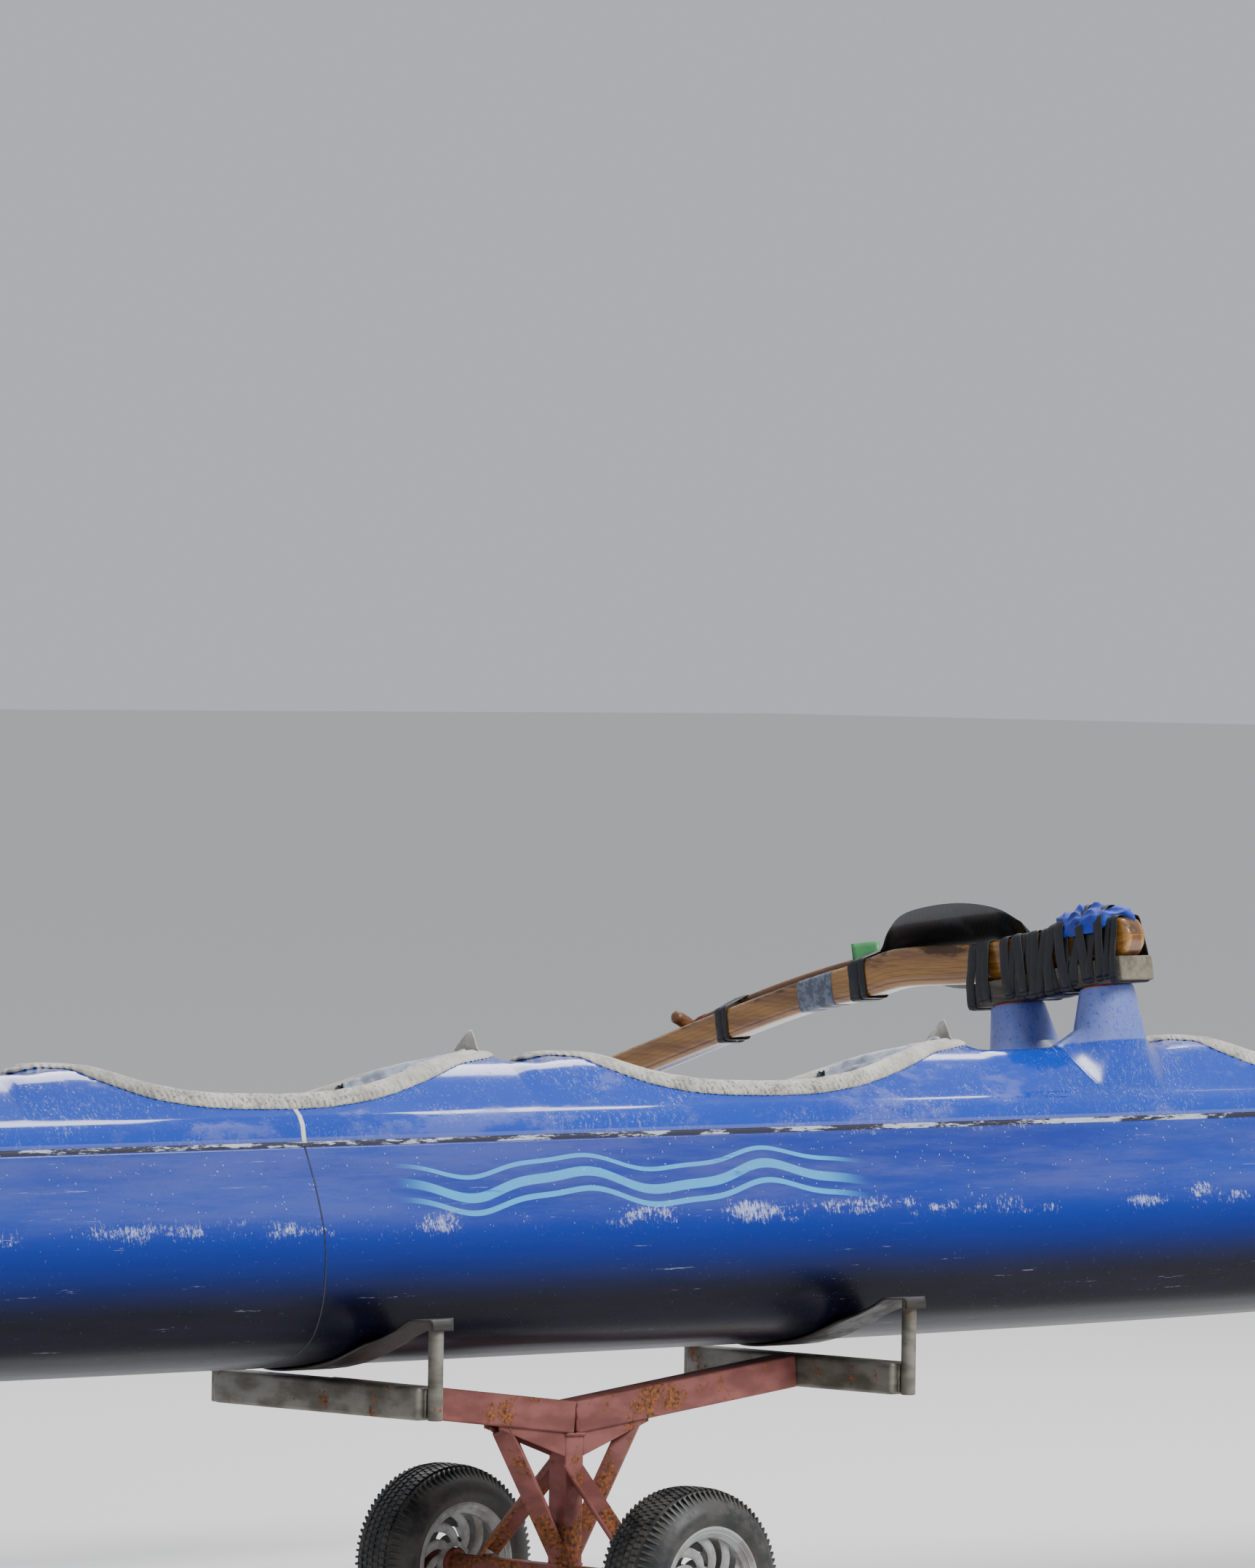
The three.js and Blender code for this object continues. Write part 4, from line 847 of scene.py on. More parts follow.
def moulded_finish(name, colour, dirt, rough=0.4, dirty=0.6):
    """Plain moulded plastic, scuffed and dusty."""
    make = Finish(name)
    soiled = make.patches(16.0, 0.52, 0.12, 0.7)
    return make.done(
        Base_Color=make.mix(make.times(soiled, dirty), colour, dirt),
        Roughness=make.ramp(soiled, 0.0, 1.0, rough, rough + 0.3),
        Normal=make.bump(make.cloud(make.place, 160.0, 3.0), 0.12, 0.0006),
    )


def tape_finish(name, tape, bare, level, metal=0.0):
    """Worn adhesive tape that shows what is under it where it has gone."""
    make = Finish(name)
    worn = make.patches(8.0, level, 0.03, 0.75, make.stretched((0.8, 5.0, 5.0), HEELED))
    shine = {"Metallic": make.ramp(worn, 0.0, 1.0, metal, 0.0)} if metal else {}
    return make.done(
        Base_Color=make.mix(worn, tape, bare), Roughness=make.ramp(worn, 0.0, 1.0, 0.4, 0.6),
        Normal=make.bump(make.cloud(make.place, 90.0, 4.0), 0.25, 0.001), **shine,
    )


def recipes(looks):
    """Each finish's maker and what it is given."""
    hull, underside_shade, deck, cloth = (
        (*colour, 1) for colour in (looks.hull_blue, looks.hull_shade, looks.deck_blue, looks.cloth_blue)
    )
    return {
        "hull": (hull_finish, hull, underside_shade),
        "deck": (deck_finish, "deck gel coat", deck),
        "foot": (deck_finish, "wet gel coat", deck, True),
        "inside": (shell_finish, "bare shell inside", rgb(150, 152, 150), rgb(96, 92, 82)),
        "seat": (shell_finish, "seat shell", rgb(150, 155, 162), rgb(104, 106, 108)),
        "trim": (cloth_finish, "rim trim cloth", rgb(196, 192, 182), rgb(142, 138, 128), 0.55),
        "skirt": (cloth_finish, "skirt cloth", rgb(170, 180, 198), rgb(96, 104, 122), 0.0, 380.0, 0.5, 0.5),
        "blue_cloth": (cloth_finish, "blue cloth", cloth, rgb(8, 30, 120), 0.0, 260.0, 0.08, 0.6),
        "laminate": (laminate_finish,),
        "timber": (timber_finish, "weathered timber", rgb(104, 98, 84), rgb(62, 57, 48)),
        "end_grain": (timber_finish, "sawn end", rgb(124, 116, 100), rgb(84, 78, 66), (1.2, 3.0, 1.2)),
        "shaft": (timber_finish, "paddle wood", rgb(128, 84, 44), rgb(84, 50, 26), (3.0, 0.2, 3.0), 0.45),
        "rubber": (rubber_finish, "inner-tube rubber", rgb(14, 15, 18), rgb(58, 62, 68)),
        "sling": (rubber_finish, "sling rubber", rgb(14, 13, 13), rgb(70, 62, 54), 0.45, 0.6, 6.0),
        "pad": (rubber_finish, "red rubber", rgb(168, 36, 38), rgb(150, 80, 74), 0.3, 0.5, 20.0),
        "carbon": (carbon_finish,),
        "zinc": (
            steel_finish, "galvanised steel", rgb(128, 125, 116), rgb(88, 84, 74), 0.6, 0.55, 0.45, 14.0,
        ),
        "primer": (
            steel_finish, "red primer", rgb(134, 78, 72), rgb(108, 58, 52), 0.56, 0.72, 0.0, 10.0, True,
        ),
        "tyre": (rubber_finish, "tyre rubber", rgb(24, 25, 26), rgb(98, 94, 88), 0.5, 0.65, 14.0),
        "wheel": (moulded_finish, "wheel plastic", rgb(150, 152, 152), rgb(98, 84, 72)),
        "hub": (steel_finish, "hub steel", rgb(140, 60, 52), rgb(112, 50, 44), 0.5, 0.6, 0.1, 30.0),
        "collar": (moulded_finish, "red collar", rgb(112, 26, 32), rgb(70, 30, 30), 0.35, 0.3),
        "grey_tape": (tape_finish, "blue-grey tape", rgb(112, 122, 140), rgb(86, 92, 104), 0.5),
        "seam_tape": (tape_finish, "seam tape", rgb(176, 182, 192), rgb(24, 22, 44), 0.475, 0.1),
        "joint_tape": (tape_finish, "joint tape", rgb(206, 206, 210), rgb(140, 146, 172), 0.6),
        "sealant": (rubber_finish, "joint line", rgb(16, 18, 26), rgb(70, 76, 96), 0.2, 0.5, 20.0),
        "tag": (moulded_finish, "green tag", rgb(70, 140, 84), rgb(60, 96, 70), 0.4, 0.4),
        "floor": (moulded_finish, "pale floor", rgb(232, 231, 229), rgb(226, 225, 222), 0.8, 0.3),
    }


FINISHES = {}


def finish(name):
    """One of the part's finishes, made when it is first asked for."""
    if name not in FINISHES:
        maker, *values = recipes(bpy.context.scene.canoe_looks)[name]
        FINISHES[name] = maker(*values)
    return FINISHES[name]


def hull_skin():
    """The whole hull's outside, from one gunwale round the keel to the other."""
    columns, rows = 170, 2 * (len(HULL_LINE) - 1)

    def station(i):
        return HALF_LENGTH * math.sin((2 * i / columns - 1) * math.pi / 2)

    def place(i, j):
        side = -1 if j < rows / 2 else 1
        point = hull_point(station(i), abs(2 * j / rows - 1), side)
        return Vector((point.x, 0, point.z)) if i in (0, columns) else point

    def chart(i, j):
        return station(i) / 1000, HULL_LINE[abs(j - rows // 2)].y

    bm = surface(columns, rows, place, chart, weld=0.01)
    return facing(bm, lambda spot: (spot.x, 0, 400))


def bulkhead(x):
    """A plate across the inside of hull and deck."""
    outline = [hull_point(x, s / 14, 1, -12) for s in range(14, -1, -1)]
    outline += [hull_point(x, s / 14, -1, -12) for s in range(1, 15)]
    half = deck_half(x)[4:]
    outline += [Vector((x, -p.x * 0.93, p.y - 12)) for p in half[:-1]]
    outline += [Vector((x, p.x * 0.93, p.y - 12)) for p in reversed(half)]
    return plate(outline, (6, 0, 0))


def deck_skin():
    """The whole deck, open over the cockpits, with a crease above each gunwale."""
    stations = deck_stations()
    halves = [deck_half(x) for x in stations]
    sides = []
    for side in (-1, 1):

        def place(i, j, side=side):
            point = halves[i][j]
            y = 0 if i in (0, len(stations) - 1) or point.x < 0.05 else side * point.x
            return Vector((stations[i], y, point.y))

        def chart(i, j):
            return stations[i] / 1000, halves[i][j].x / 1000

        half = surface(len(stations) - 1, len(halves[0]) - 1, place, chart)
        sides.append(facing(half, lambda spot: (spot.x, 0, 400)))
    bm = joined(sides)
    bmesh.ops.remove_doubles(bm, verts=bm.verts[:], dist=0.02)
    return bm


def pedestal(x, side):
    """A beam's moulded foot, which flares out into the deck in a hollow curve."""
    rings = [Vector(ring) for ring in PEDESTAL_RINGS]
    line = smooth_line(rings[:3], 6)
    columns, rows = len(line) + 13, 64

    def spot(ring, angle, size=1.0):
        y = side * (PEDESTAL_PORT - ring[3]) + size * ring[2] * math.sin(angle)
        return Vector((x + size * ring[1] * math.cos(angle), y, PEDESTAL_TOP - ring[0]))

    def on_deck(point, above):
        y = max(min(point.y, half_beam(x) - 16), 16 - half_beam(x))
        return Vector((point.x, y, deck_top(point.x, y) + above))

    def place(i, j):
        angle = 2 * math.pi * j / rows
        if i < 2:
            return spot(line[0], angle, (0.0, 0.94)[i])
        if i - 2 < len(line):
            return spot(line[i - 2], angle)
        share = (i - 1 - len(line)) / 12
        top = spot(line[-1], angle)
        foot = on_deck(spot(rings[-1], angle, 1.06), 0.5)
        turn = on_deck(spot(rings[3], angle, 0.97), 2)
        return top.lerp(turn, share).lerp(turn.lerp(foot, share), share)

    def chart(i, j):
        return j / rows, (PEDESTAL_TOP - place(i, j).z) / 1000

    bm = surface(columns, rows, place, chart, weld=0.01)
    return facing(bm, lambda spot: (x, side * PEDESTAL_PORT, 560))


def strip_on_hull(x, half_width, proud):
    """A narrow strip that lies round the hull's outside at a station."""

    def place(i, j):
        side = -1 if j < 24 else 1
        return hull_point(x + (i - 1) * half_width, abs(2 * j / 48 - 1), side, proud)

    bm = surface(2, 48, place)
    return facing(bm, lambda spot: (x, 0, 300))


def strip_on_deck(x, half_width, proud):
    """A narrow strip across the deck's side at a station, on both sides."""
    parts = []
    for side in (-1, 1):

        def place(i, j, side=side):
            station = x + (i - 1) * half_width
            point = deck_half(station)[j]
            return Vector((station, side * (point.x + proud), point.y + proud * 0.6))

        strip = surface(2, len(deck_half(x)) - 1, place)
        parts.append(facing(strip, lambda spot: (x, 0, 450)))
    return joined(parts)


def seam_strip(side, half_height, proud):
    """The sealed and taped joint between hull and deck, along one gunwale."""
    columns = 220

    def place(i, j):
        x = -SEAM_END + 2 * SEAM_END * i / columns
        height = (j - 2) / 2 * half_height
        y = half_beam(x) + proud * (1 if j in (1, 2, 3) else 0.2)
        return Vector((x, side * y, seam_height(x) + height))

    bm = surface(columns, 4, place, lambda i, j: (i * 0.06, j / 4))
    return facing(bm, lambda spot: (spot.x, 0, 400))


# Deck sections that have been worked out, by station.
HALVES = {}


def deck_top(x, y):
    """The deck's height at a place, or None beyond its gunwale."""
    key = round(x / 4) * 4
    if key not in HALVES:
        HALVES[key] = deck_half(key)
    half = HALVES[key]
    port = abs(y)
    for a, b in zip(half[3:], half[4:]):
        if b.x <= port <= a.x:
            return a.y + (b.y - a.y) * (a.x - port) / max(a.x - b.x, 1e-6)
    return half[-1].y if port < half[-1].x else None


def rim_loop(aft, count):
    """Points round a cockpit's rim, aft end first, along port and back along starboard."""
    side = []
    for i in range(61):
        share = 0.5 - 0.5 * math.cos(math.pi * i / 60)
        x = aft + COCKPIT_LENGTH * share
        point = deck_half(x)[-1]
        side.append(Vector((x, 0 if i in (0, 60) else point.x, point.y)))
    back = [Vector((p.x, -p.y, p.z)) for p in reversed(side[1:-1])]
    return spaced([*side, *back, side[0]], count)


def outward_at(loop, i):
    """The level direction away from a rim's opening at one of its points."""
    count = len(loop) - 1
    along = loop[(i + 2) % count] - loop[(i - 2) % count]
    return Vector((-along.y, along.x, 0)).normalized()


def down_the_deck(point, out, lengths):
    """Places at given lengths down the deck from the rim, each with the surface's lift there."""
    places, gone, last, step, normal = [], 0.0, Vector((0, point.z)), 0.0, Vector((0, 1))
    while len(places) < len(lengths) and step < 60:
        step += 1.5
        height = deck_top(point.x + out.x * step, point.y + out.y * step)
        spot = Vector((step, height)) if height is not None else Vector((last.x + 0.3, last.y - 1.5))
        move = spot - last
        if move.length > 14:
            move = move.normalized() * 2
            spot = last + move
        normal = normal.lerp(Vector((-move.y, move.x)).normalized(), 0.35).normalized()
        while len(places) < len(lengths) and gone + move.length >= lengths[len(places)]:
            share = (lengths[len(places)] - gone) / max(move.length, 1e-6)
            places.append((last.lerp(spot, share), normal.copy()))
        gone += move.length
        last = spot
    while len(places) < len(lengths):
        places.append((last, normal))
    return places


def rim_trim(aft, sizes):
    """The trim cloth that is folded over a cockpit's rim, puckered where it is drawn in, with painted shade
    in the hollows between the puckers.

    Its rows run from inside the opening over the rim (inside, as distance out and height) and down
    the deck (fold, as length from the rim, each with its lift above the deck).
    """
    count = 660
    loop = rim_loop(aft, count)
    inside = [(-5.5, -24), (-7.5, -14), (-7.5, -3), (-6.5, 4), (-3.5, 8.2)]
    fold = [0.5, 4, 8, 10.5, 13, 17, 22, 27, 31]
    lift = [9.4, 9.2, 8.0, 6.4, 6.6, 7.2, 6.6, 4.6, 1.0]
    rows = len(inside) + len(fold)
    rings, pucker_shades = [], {}
    for i in range(count):
        point, out = loop[i], outward_at(loop, i)
        share = (point.x - aft) / COCKPIT_LENGTH
        wide = sizes.trim_width / 0.031 * (1 + 0.45 * ease(share, 0.78, 1.0)) * MM
        ring = [point + out * o + Vector((0, 0, u)) for o, u in inside]
        spots = down_the_deck(point, out, [f * wide * 1000 for f in fold])
        run = i * 4.4
        low = 1 - ease(abs(share - 0.42), 0.16, 0.45)
        for k, ((spot, normal), up) in enumerate(zip(spots, lift)):
            drawn = ease(k, 2, 5) * (0.75 + 0.5 * noise.noise(Vector((run * 0.011, aft, 0))))
            fine = math.sin(run * 0.36 + 3.5 * noise.noise(Vector((run * 0.02, aft, 3))) + k * 0.15)
            rise = up + drawn * fine * sizes.pucker_height * 1000
            patchy = 0.5 + 0.9 * noise.noise(Vector((run * 0.035, aft, k * 0.4)))
            # How deep each hollow between puckers lies, kept for the painted shade there, strongest round the
            # rim's low middle.
            depth = max(-fine, 0) ** 0.7 * ease(k, 2, 4) * max(patchy, 0)
            pucker_shades[i, k + len(inside)] = depth * (0.12 + 0.88 * low)
            place = spot + normal * max(rise, 0.8)
            ring.append(Vector((point.x + out.x * place.x, point.y + out.y * place.x, place.y)))
        rings.append([p + wobble(p, 28, 0.9, aft) for p in ring])
    bm = surface(
        count, rows - 1, lambda i, j: rings[i % count][j], lambda i, j: (i * 0.0044, j / rows),
        weld=0.001,
    )
    level = bm.verts.layers.float.new("damp")
    # This layer holds the painted shade of the hollows between puckers.
    dark = bm.verts.layers.float.new("pucker_shade")
    spots = {tuple(round(c, 2) for c in rings[i][j]): pucker_shades[i, j] for i, j in pucker_shades}
    for vert in bm.verts:
        share = (vert.co.x - aft) / COCKPIT_LENGTH
        vert[level] = 0.1 + 0.9 * (1 - ease(abs(share - 0.4), 0.16, 0.42))
        vert[dark] = spots.get(tuple(round(c, 2) for c in vert.co), 0.0)

    def away(spot):
        near = min(rings[::15], key=lambda ring: (ring[5] - spot).length_squared)
        return near[5] - Vector((0, 0, 14))

    return facing(bm, away)


def spray_skirt(aft):
    """The spray skirt's cloth, bunched up inside the front end of its cockpit."""
    count, rows = 330, 22
    loop = rim_loop(aft, count)
    first, last = round(count * 0.385), round(count * 0.615)
    columns = 110

    def place(i, j):
        spot = first + (last - first) * i / columns
        k = int(spot) % count
        point = loop[k].lerp(loop[k + 1], spot - int(spot))
        out = outward_at(loop, k)
        near = 1 - abs(2 * i / columns - 1)
        turn = math.radians(-40 + 285 * j / rows)
        folds = noise.noise(Vector((i * 0.23, j * 0.16, aft * 0.01)))
        ridge = math.sin(j * 1.1 + i * 0.05 + 2.2 * noise.noise(Vector((i * 0.05, j * 0.1, aft))))
        size = (16 + 9 * near) * (1 + 0.3 * folds) + 3.4 * ridge
        centre_out = -(22 + 10 * near)
        inward = centre_out + size * 1.15 * math.cos(turn)
        rise = -12 - 8 * near + size * math.sin(turn)
        spot = point + out * min(inward, -7.6) + Vector((0, 0, rise))
        limit = abs(point.y) + 30
        spot.y = max(min(spot.y, limit), -limit)
        return spot

    bm = surface(columns, rows, place, lambda i, j: (i * 0.01, j * 0.01))
    return facing(bm, lambda spot: (aft + COCKPIT_LENGTH - 60, 0, 560))


def peak_flap(aft, height):
    """The loose pointed end of the trim, standing at the cockpit's front peak."""
    front = aft + COCKPIT_LENGTH
    base = deck_half(front)[-1].y

    def place(i, j):
        up = j / 10
        width = 37 * (1 - up ** 1.25) + 2.5
        y = (2 * i / 10 - 1) * width
        curl = -10 + 15 * up ** 2 - 0.004 * y * y
        bend = 2.5 * noise.noise(Vector((y * 0.05, up * 3, aft)))
        return Vector((front + curl + bend, y, base + 2 + height * up))

    bm = surface(10, 10, place, lambda i, j: (i / 10, j / 10))
    layer = bm.verts.layers.float.new("damp")
    for vert in bm.verts:
        vert[layer] = 0.2
    return bm


def squared(angle):
    """Across and up on a beam's section, a square with well rounded corners."""
    across, up = math.cos(angle), math.sin(angle)
    size = (abs(across) ** 7 + abs(up) ** 7) ** (-1 / 7)
    return across * size, up * size


def beam_body(x):
    """One cross beam: a deep rounded bar that sweeps down to the float."""
    rings = []
    for degrees in (90, 74, 56, 38, 20):
        turn = math.radians(degrees)
        rings.append((-200 - 33.6 * math.sin(turn), 0, 84, max(math.cos(turn), 0.02)))
    for i in range(72):
        port = -200 + 2115 * i / 71
        rings.append((port, read(BEAM_SWEEP, port), read(BEAM_SWEEP, port, 2), 1.0))
    for degrees in (20, 38, 56, 74, 90):
        turn = math.radians(degrees)
        rings.append((1915 + 26.4 * math.sin(turn), -158, 66, max(math.cos(turn), 0.02)))
    rows = 32

    def place(i, j):
        port, rise, depth, size = rings[i]
        across, up = squared(2 * math.pi * (j + 0.5) / rows)
        squeeze = 0.7 + 0.3 * size
        return Vector((
            x + BEAM_WIDTH / 2 * across * squeeze, port, BEAM_MIDDLE + rise + depth / 2 * up * size,
        ))

    def chart(i, j):
        up = squared(2 * math.pi * (j + 0.5) / rows)[1]
        return rings[i][0] / 1000, 0.5 + 0.5 * up

    bm = surface(len(rings) - 1, rows, place, chart, weld=0.05)
    return capped(bm)


def rounded_loop(corners, radius, count):
    """An even closed line round some corners, each rounded."""
    line = []
    corners = [Vector(c) for c in corners]
    for k, corner in enumerate(corners):
        before, after = corners[k - 1], corners[(k + 1) % len(corners)]
        start = corner + (before - corner).normalized() * min(radius, (before - corner).length * 0.45)
        end = corner + (after - corner).normalized() * min(radius, (after - corner).length * 0.45)
        for i in range(6):
            t = i / 5
            line.append(start.lerp(corner, t).lerp(corner.lerp(end, t), t))
    return spaced([*line, line[0]], count)


def band(corners, port, width, tilt, phase, radius, seed):
    """One turn of rubber band round corners given as distance fore and height, at a distance to port."""
    count = 52
    loop = rounded_loop(corners, radius, count)
    middle = sum(loop[:-1], Vector((0, 0))) / count

    def place(i, j):
        point = loop[i % count]
        across = j / 5 * 2 - 1
        out = (point - middle).normalized()
        swell = 1.2 * (1 - across * across) + 0.9 * noise.noise(Vector((i * 0.35, j * 0.7, seed)))
        lean = tilt * math.cos(2 * math.pi * i / count + phase)
        edge = 1.5 * noise.noise(Vector((i % count * 0.22, seed, across)))
        spot = point + out * swell
        return Vector((spot.x, port + across * width / 2 + lean + edge, spot.y))

    bm = surface(count, 5, place, lambda i, j: (i * 0.01, j / 5), weld=0.001)
    return facing(bm, lambda spot: (middle.x, spot.y, middle.y))


def hull_bands(x, over_cloth):
    """Many turns of rubber band round a beam and its block, some of them crossing."""
    turns = [
        (210, 24, 5, 0), (189, 24, -4, 0), (166, 22, 7, 0), (104, 24, 12, 1), (92, 26, -10, 1),
        (74, 25, 16, 1), (58, 26, -14, 1), (40, 25, 17, 1), (24, 26, -15, 1), (6, 25, 14, 1),
        (-12, 26, -17, 1), (-32, 25, 15, 1), (-50, 25, -14, 1), (-70, 26, 17, 1), (-92, 25, -13, 1),
        (-116, 24, 9, 0), (-140, 24, -5, 0), (-162, 24, 6, 0), (-184, 24, -3, 0), (-204, 20, 2, 0),
    ]
    parts = []
    for k, (port, width, tilt, layer) in enumerate(turns):
        out = 2.2 + 1.6 * layer * (k % 2) + 0.4 * (k % 3)
        on_pad = 70 < abs(port) < 195
        low = BLOCK_BOTTOM + (5 if on_pad else 0) - (0 if on_pad else out)
        top = BEAM_MIDDLE + 42 + out
        over = over_cloth and port in (-32, -70, -116, -162)
        puffed = 36 * math.exp(-(((port + 118) / 80) ** 2)) if over else 0
        corners = [
            (x - 50 - out, low), (x + 50 + out, low), (x + 50 + out, BLOCK_BOTTOM + 50),
            (x + 31 + out + puffed * 0.5, top), (x + 12, top + puffed), (x - 12, top + puffed),
            (x - 31 - out - puffed * 0.35, top), (x - 50 - out, BLOCK_BOTTOM + 50),
        ]
        parts.append(band(corners, port, width, tilt, 0.6 * k, 10, k * 1.3 + x))
    return joined(parts)


def float_bands(x):
    """The turns that hold a beam down on its post's plate."""
    parts = []
    half, bottom, plate_top = FLOAT_PLATE.values()
    for k, port in enumerate((1795, 1808, 1893, 1906)):
        height, depth = beam_at(port)
        out = 2.2 + 0.8 * (k % 2)
        top = height + depth / 2 + out
        corners = [
            (x - half - out, bottom - out), (x + half + out, bottom - out), (x + half + out, plate_top),
            (x + 31 + out, top), (x - 31 - out, top), (x - half - out, plate_top),
        ]
        parts.append(band(corners, port, 17, 4 * (-1) ** k, k, 8, k + x))
    for k, shift in enumerate((-8, 8)):
        out = 5 + k
        line = []
        for i in range(15):
            port = 1795 + 110 * i / 14
            height, depth = beam_at(port)
            line.append((x + shift * (1 - 2 * i / 14), port, height + depth / 2 + out))
        parts.append(tube_along(line, 8, 10, 0.3))
    return joined(parts)


def paddle_height(port):
    """The height of the shaft's middle, with the slight bend that its ties give it."""
    share = min(max((port - PADDLE["throat"]) / (PADDLE["grip"] - PADDLE["throat"]), 0), 1)
    straight = PADDLE["throat_height"] + (PADDLE["grip_height"] - PADDLE["throat_height"]) * share
    return straight + 11 * math.sin(math.pi * share)


def paddle_bands(turns):
    """Turns round the beam and the paddle's shaft that lies against it."""
    x = BEAMS["fore"]
    parts = []
    for k, (port, width, tilt) in enumerate(turns):
        height, depth = beam_at(port)
        shaft = paddle_height(port)
        out = 2.4 + 0.7 * (k % 2)
        top, bottom = height + depth / 2, height - depth / 2
        corners = [
            (x - 30 - out, bottom - out), (x + 30 + out, bottom - out), (PADDLE_X + 15 + out, shaft - 14),
            (PADDLE_X + 14 + out, shaft + 12), (PADDLE_X - 4, max(shaft + 15 + out, top + out)),
            (x - 30 - out, top + out),
        ]
        parts.append(band(corners, port, width, tilt, k * 0.7, 8, 40 + k))
    return joined(parts)


def paddle_wood():
    """The paddle's shaft and its crosswise grip."""
    throat, grip = PADDLE["throat"], PADDLE["grip"]
    ports = [throat - 30 + (grip - throat + 30) * i / 24 for i in range(25)]
    line = [(PADDLE_X, port, paddle_height(port)) for port in ports]
    shaft = tube_along(line, 14, 20)
    cross = []
    for i in range(21):
        share = i / 20
        bow = 3 * math.sin(math.pi * share)
        cross.append((PADDLE_X - 46 + 108 * share, grip - bow, PADDLE["grip_height"] + 30 - 60 * share))
    handle = tube_along(cross, 15, 18)
    return joined([shaft, handle])


def paddle_blade():
    """The blade, thickest along its middle and thin at its edge."""
    line = smooth_line(BLADE_OUTLINE, 5)
    columns, rows = len(line) - 1, 20

    def place(i, j):
        along, half = line[i].x - PADDLE["throat"], max(line[i].y, 3)
        angle = 2 * math.pi * j / rows
        across = math.cos(angle)
        neck = ease(line[i].x, 500, 585) * math.exp(-((across / 0.4) ** 2))
        thick = 1.6 + 3.4 * math.exp(-((across / 0.55) ** 2)) + 8 * neck
        return Vector((thick * math.sin(angle), along, half * across))

    bm = surface(columns, rows, place, lambda i, j: (i / columns, j / rows), weld=0.001)
    capped(bm)
    drop = math.atan2(PADDLE["throat_height"] - PADDLE["tip_height"], PADDLE["throat"] - 112)
    place = Matrix.Translation((PADDLE_X, PADDLE["throat"], PADDLE["throat_height"]))
    bm.transform(place @ Matrix.Rotation(drop, 4, "X") @ Matrix.Rotation(-math.radians(42), 4, "Y"))
    return bm


def bunched_cloth(x):
    """Blue cloth stuffed under the bands on the near end of the fore beam, hanging down its far side."""
    top = BEAM_MIDDLE + 42
    columns, rows = 110, 60

    def place(i, j):
        turn, rise = 2 * math.pi * i / columns, math.pi * (j / rows) * 0.62
        out = Vector((math.cos(turn) * math.sin(rise), math.sin(turn) * math.sin(rise), math.cos(rise)))
        fold = noise.noise(out * 1.9 + Vector((5, 1, 2)))
        fine = abs(noise.noise(Vector((out.x * 1.6, out.y * 3.6, out.z * 1.6)) + Vector((1, 7, 3))))
        size = 1.02 + 0.12 * fold - 0.26 * fine
        pinch = 1.0
        for port, depth in ((38, 0.2), (-8, 0.24), (-54, 0.22)):
            pinch -= depth * math.exp(-(((out.y * 112 - port) / 9) ** 2))
        drop = 34 * ease(out.x, 0.45, 0.95) * ease(j / rows, 0.6, 1.0)
        y = -108 + out.y * 112 * size
        z = top - 8 + out.z * 50 * size * pinch
        return Vector((x + 2 + out.x * 50 * size, y, max(z, top - 26) - drop))

    bm = surface(columns, rows, place, lambda i, j: (i * 0.01, j * 0.01), weld=0.01)
    return facing(bm, lambda spot: (x, -120, top - 20))


def beam_sleeve(x, start, end):
    """Tape wound round a beam between two distances to port."""
    columns, rows = 12, 32

    def place(i, j):
        port = start + (end - start) * i / columns
        height, depth = beam_at(port)
        angle = 2 * math.pi * (j + 0.5) / rows
        across, up = squared(angle)
        lap = 0.9 + 0.3 * math.sin(i * 2.1 + angle)
        return Vector((
            x + (BEAM_WIDTH / 2 + lap) * across, port, height + (depth / 2 + lap) * up,
        ))

    bm = surface(columns, rows, place, lambda i, j: (i / columns, j / rows), weld=0.001)
    middle = beam_at((start + end) / 2)[0]
    return facing(bm, lambda spot: (x, spot.y, middle))


def tie_tag():
    """A card tag that stands up behind the inboard tie."""

    def place(i, j):
        across, up = i / 6 - 0.5, j / 4
        bend = 4 * math.sin(3 * across) + 5 * up * up
        return Vector((PADDLE_X - 12 - across * 44 + bend, 592 + across * 42 + bend, 852 + 44 * up))

    bm = surface(6, 4, place, lambda i, j: (i / 6, j / 4))
    return facing(bm, lambda spot: (5000, 5000, 900))


def float_skin():
    """The float's smooth hollow body."""
    line = smooth_line([Vector(p) for p in FLOAT_SECTION], 5)
    around = [Vector((-p.x, p.y)) for p in line] + line[-2::-1]
    columns, rows = 90, len(around) - 1

    def place(i, j):
        share = math.sin((2 * i / columns - 1) * math.pi / 2)
        size = abs(share)
        width = 0 if i in (0, columns) else FLOAT["width"] * (1 - size ** 2.4) ** 0.8 + 4
        bottom = FLOAT["bottom"] + 225 * size ** 3.5
        top = FLOAT["top"] + 30 * size ** 2
        point = around[j]
        x = FLOAT["middle"] + FLOAT["half"] * share
        return Vector((x, FLOAT["port"] + point.x * width, bottom + point.y * (top - bottom)))

    bm = surface(columns, rows, place, lambda i, j: (i / columns, j / rows), weld=0.05)
    return outwards(bm)


def float_post(x):
    """A post on the float, with the plate that its beam rests on."""
    profile = smooth_line([(74, 0), (70, 18), (52, 50), (38, 84), (34, 120), (34, 170)], 5)
    rows = 40

    def place(i, j):
        angle = 2 * math.pi * j / rows
        radius, up = profile[i]
        return Vector((x + radius * math.cos(angle), FLOAT["port"] + radius * math.sin(angle), 425 + up))

    cone = surface(len(profile) - 1, rows, place, lambda i, j: (i, j), weld=0.001)
    plate_bar = bar((91, 130, 14), Matrix.Translation((x, FLOAT["port"], 600.9)), 3, 3)
    return joined([capped(cone), plate_bar])


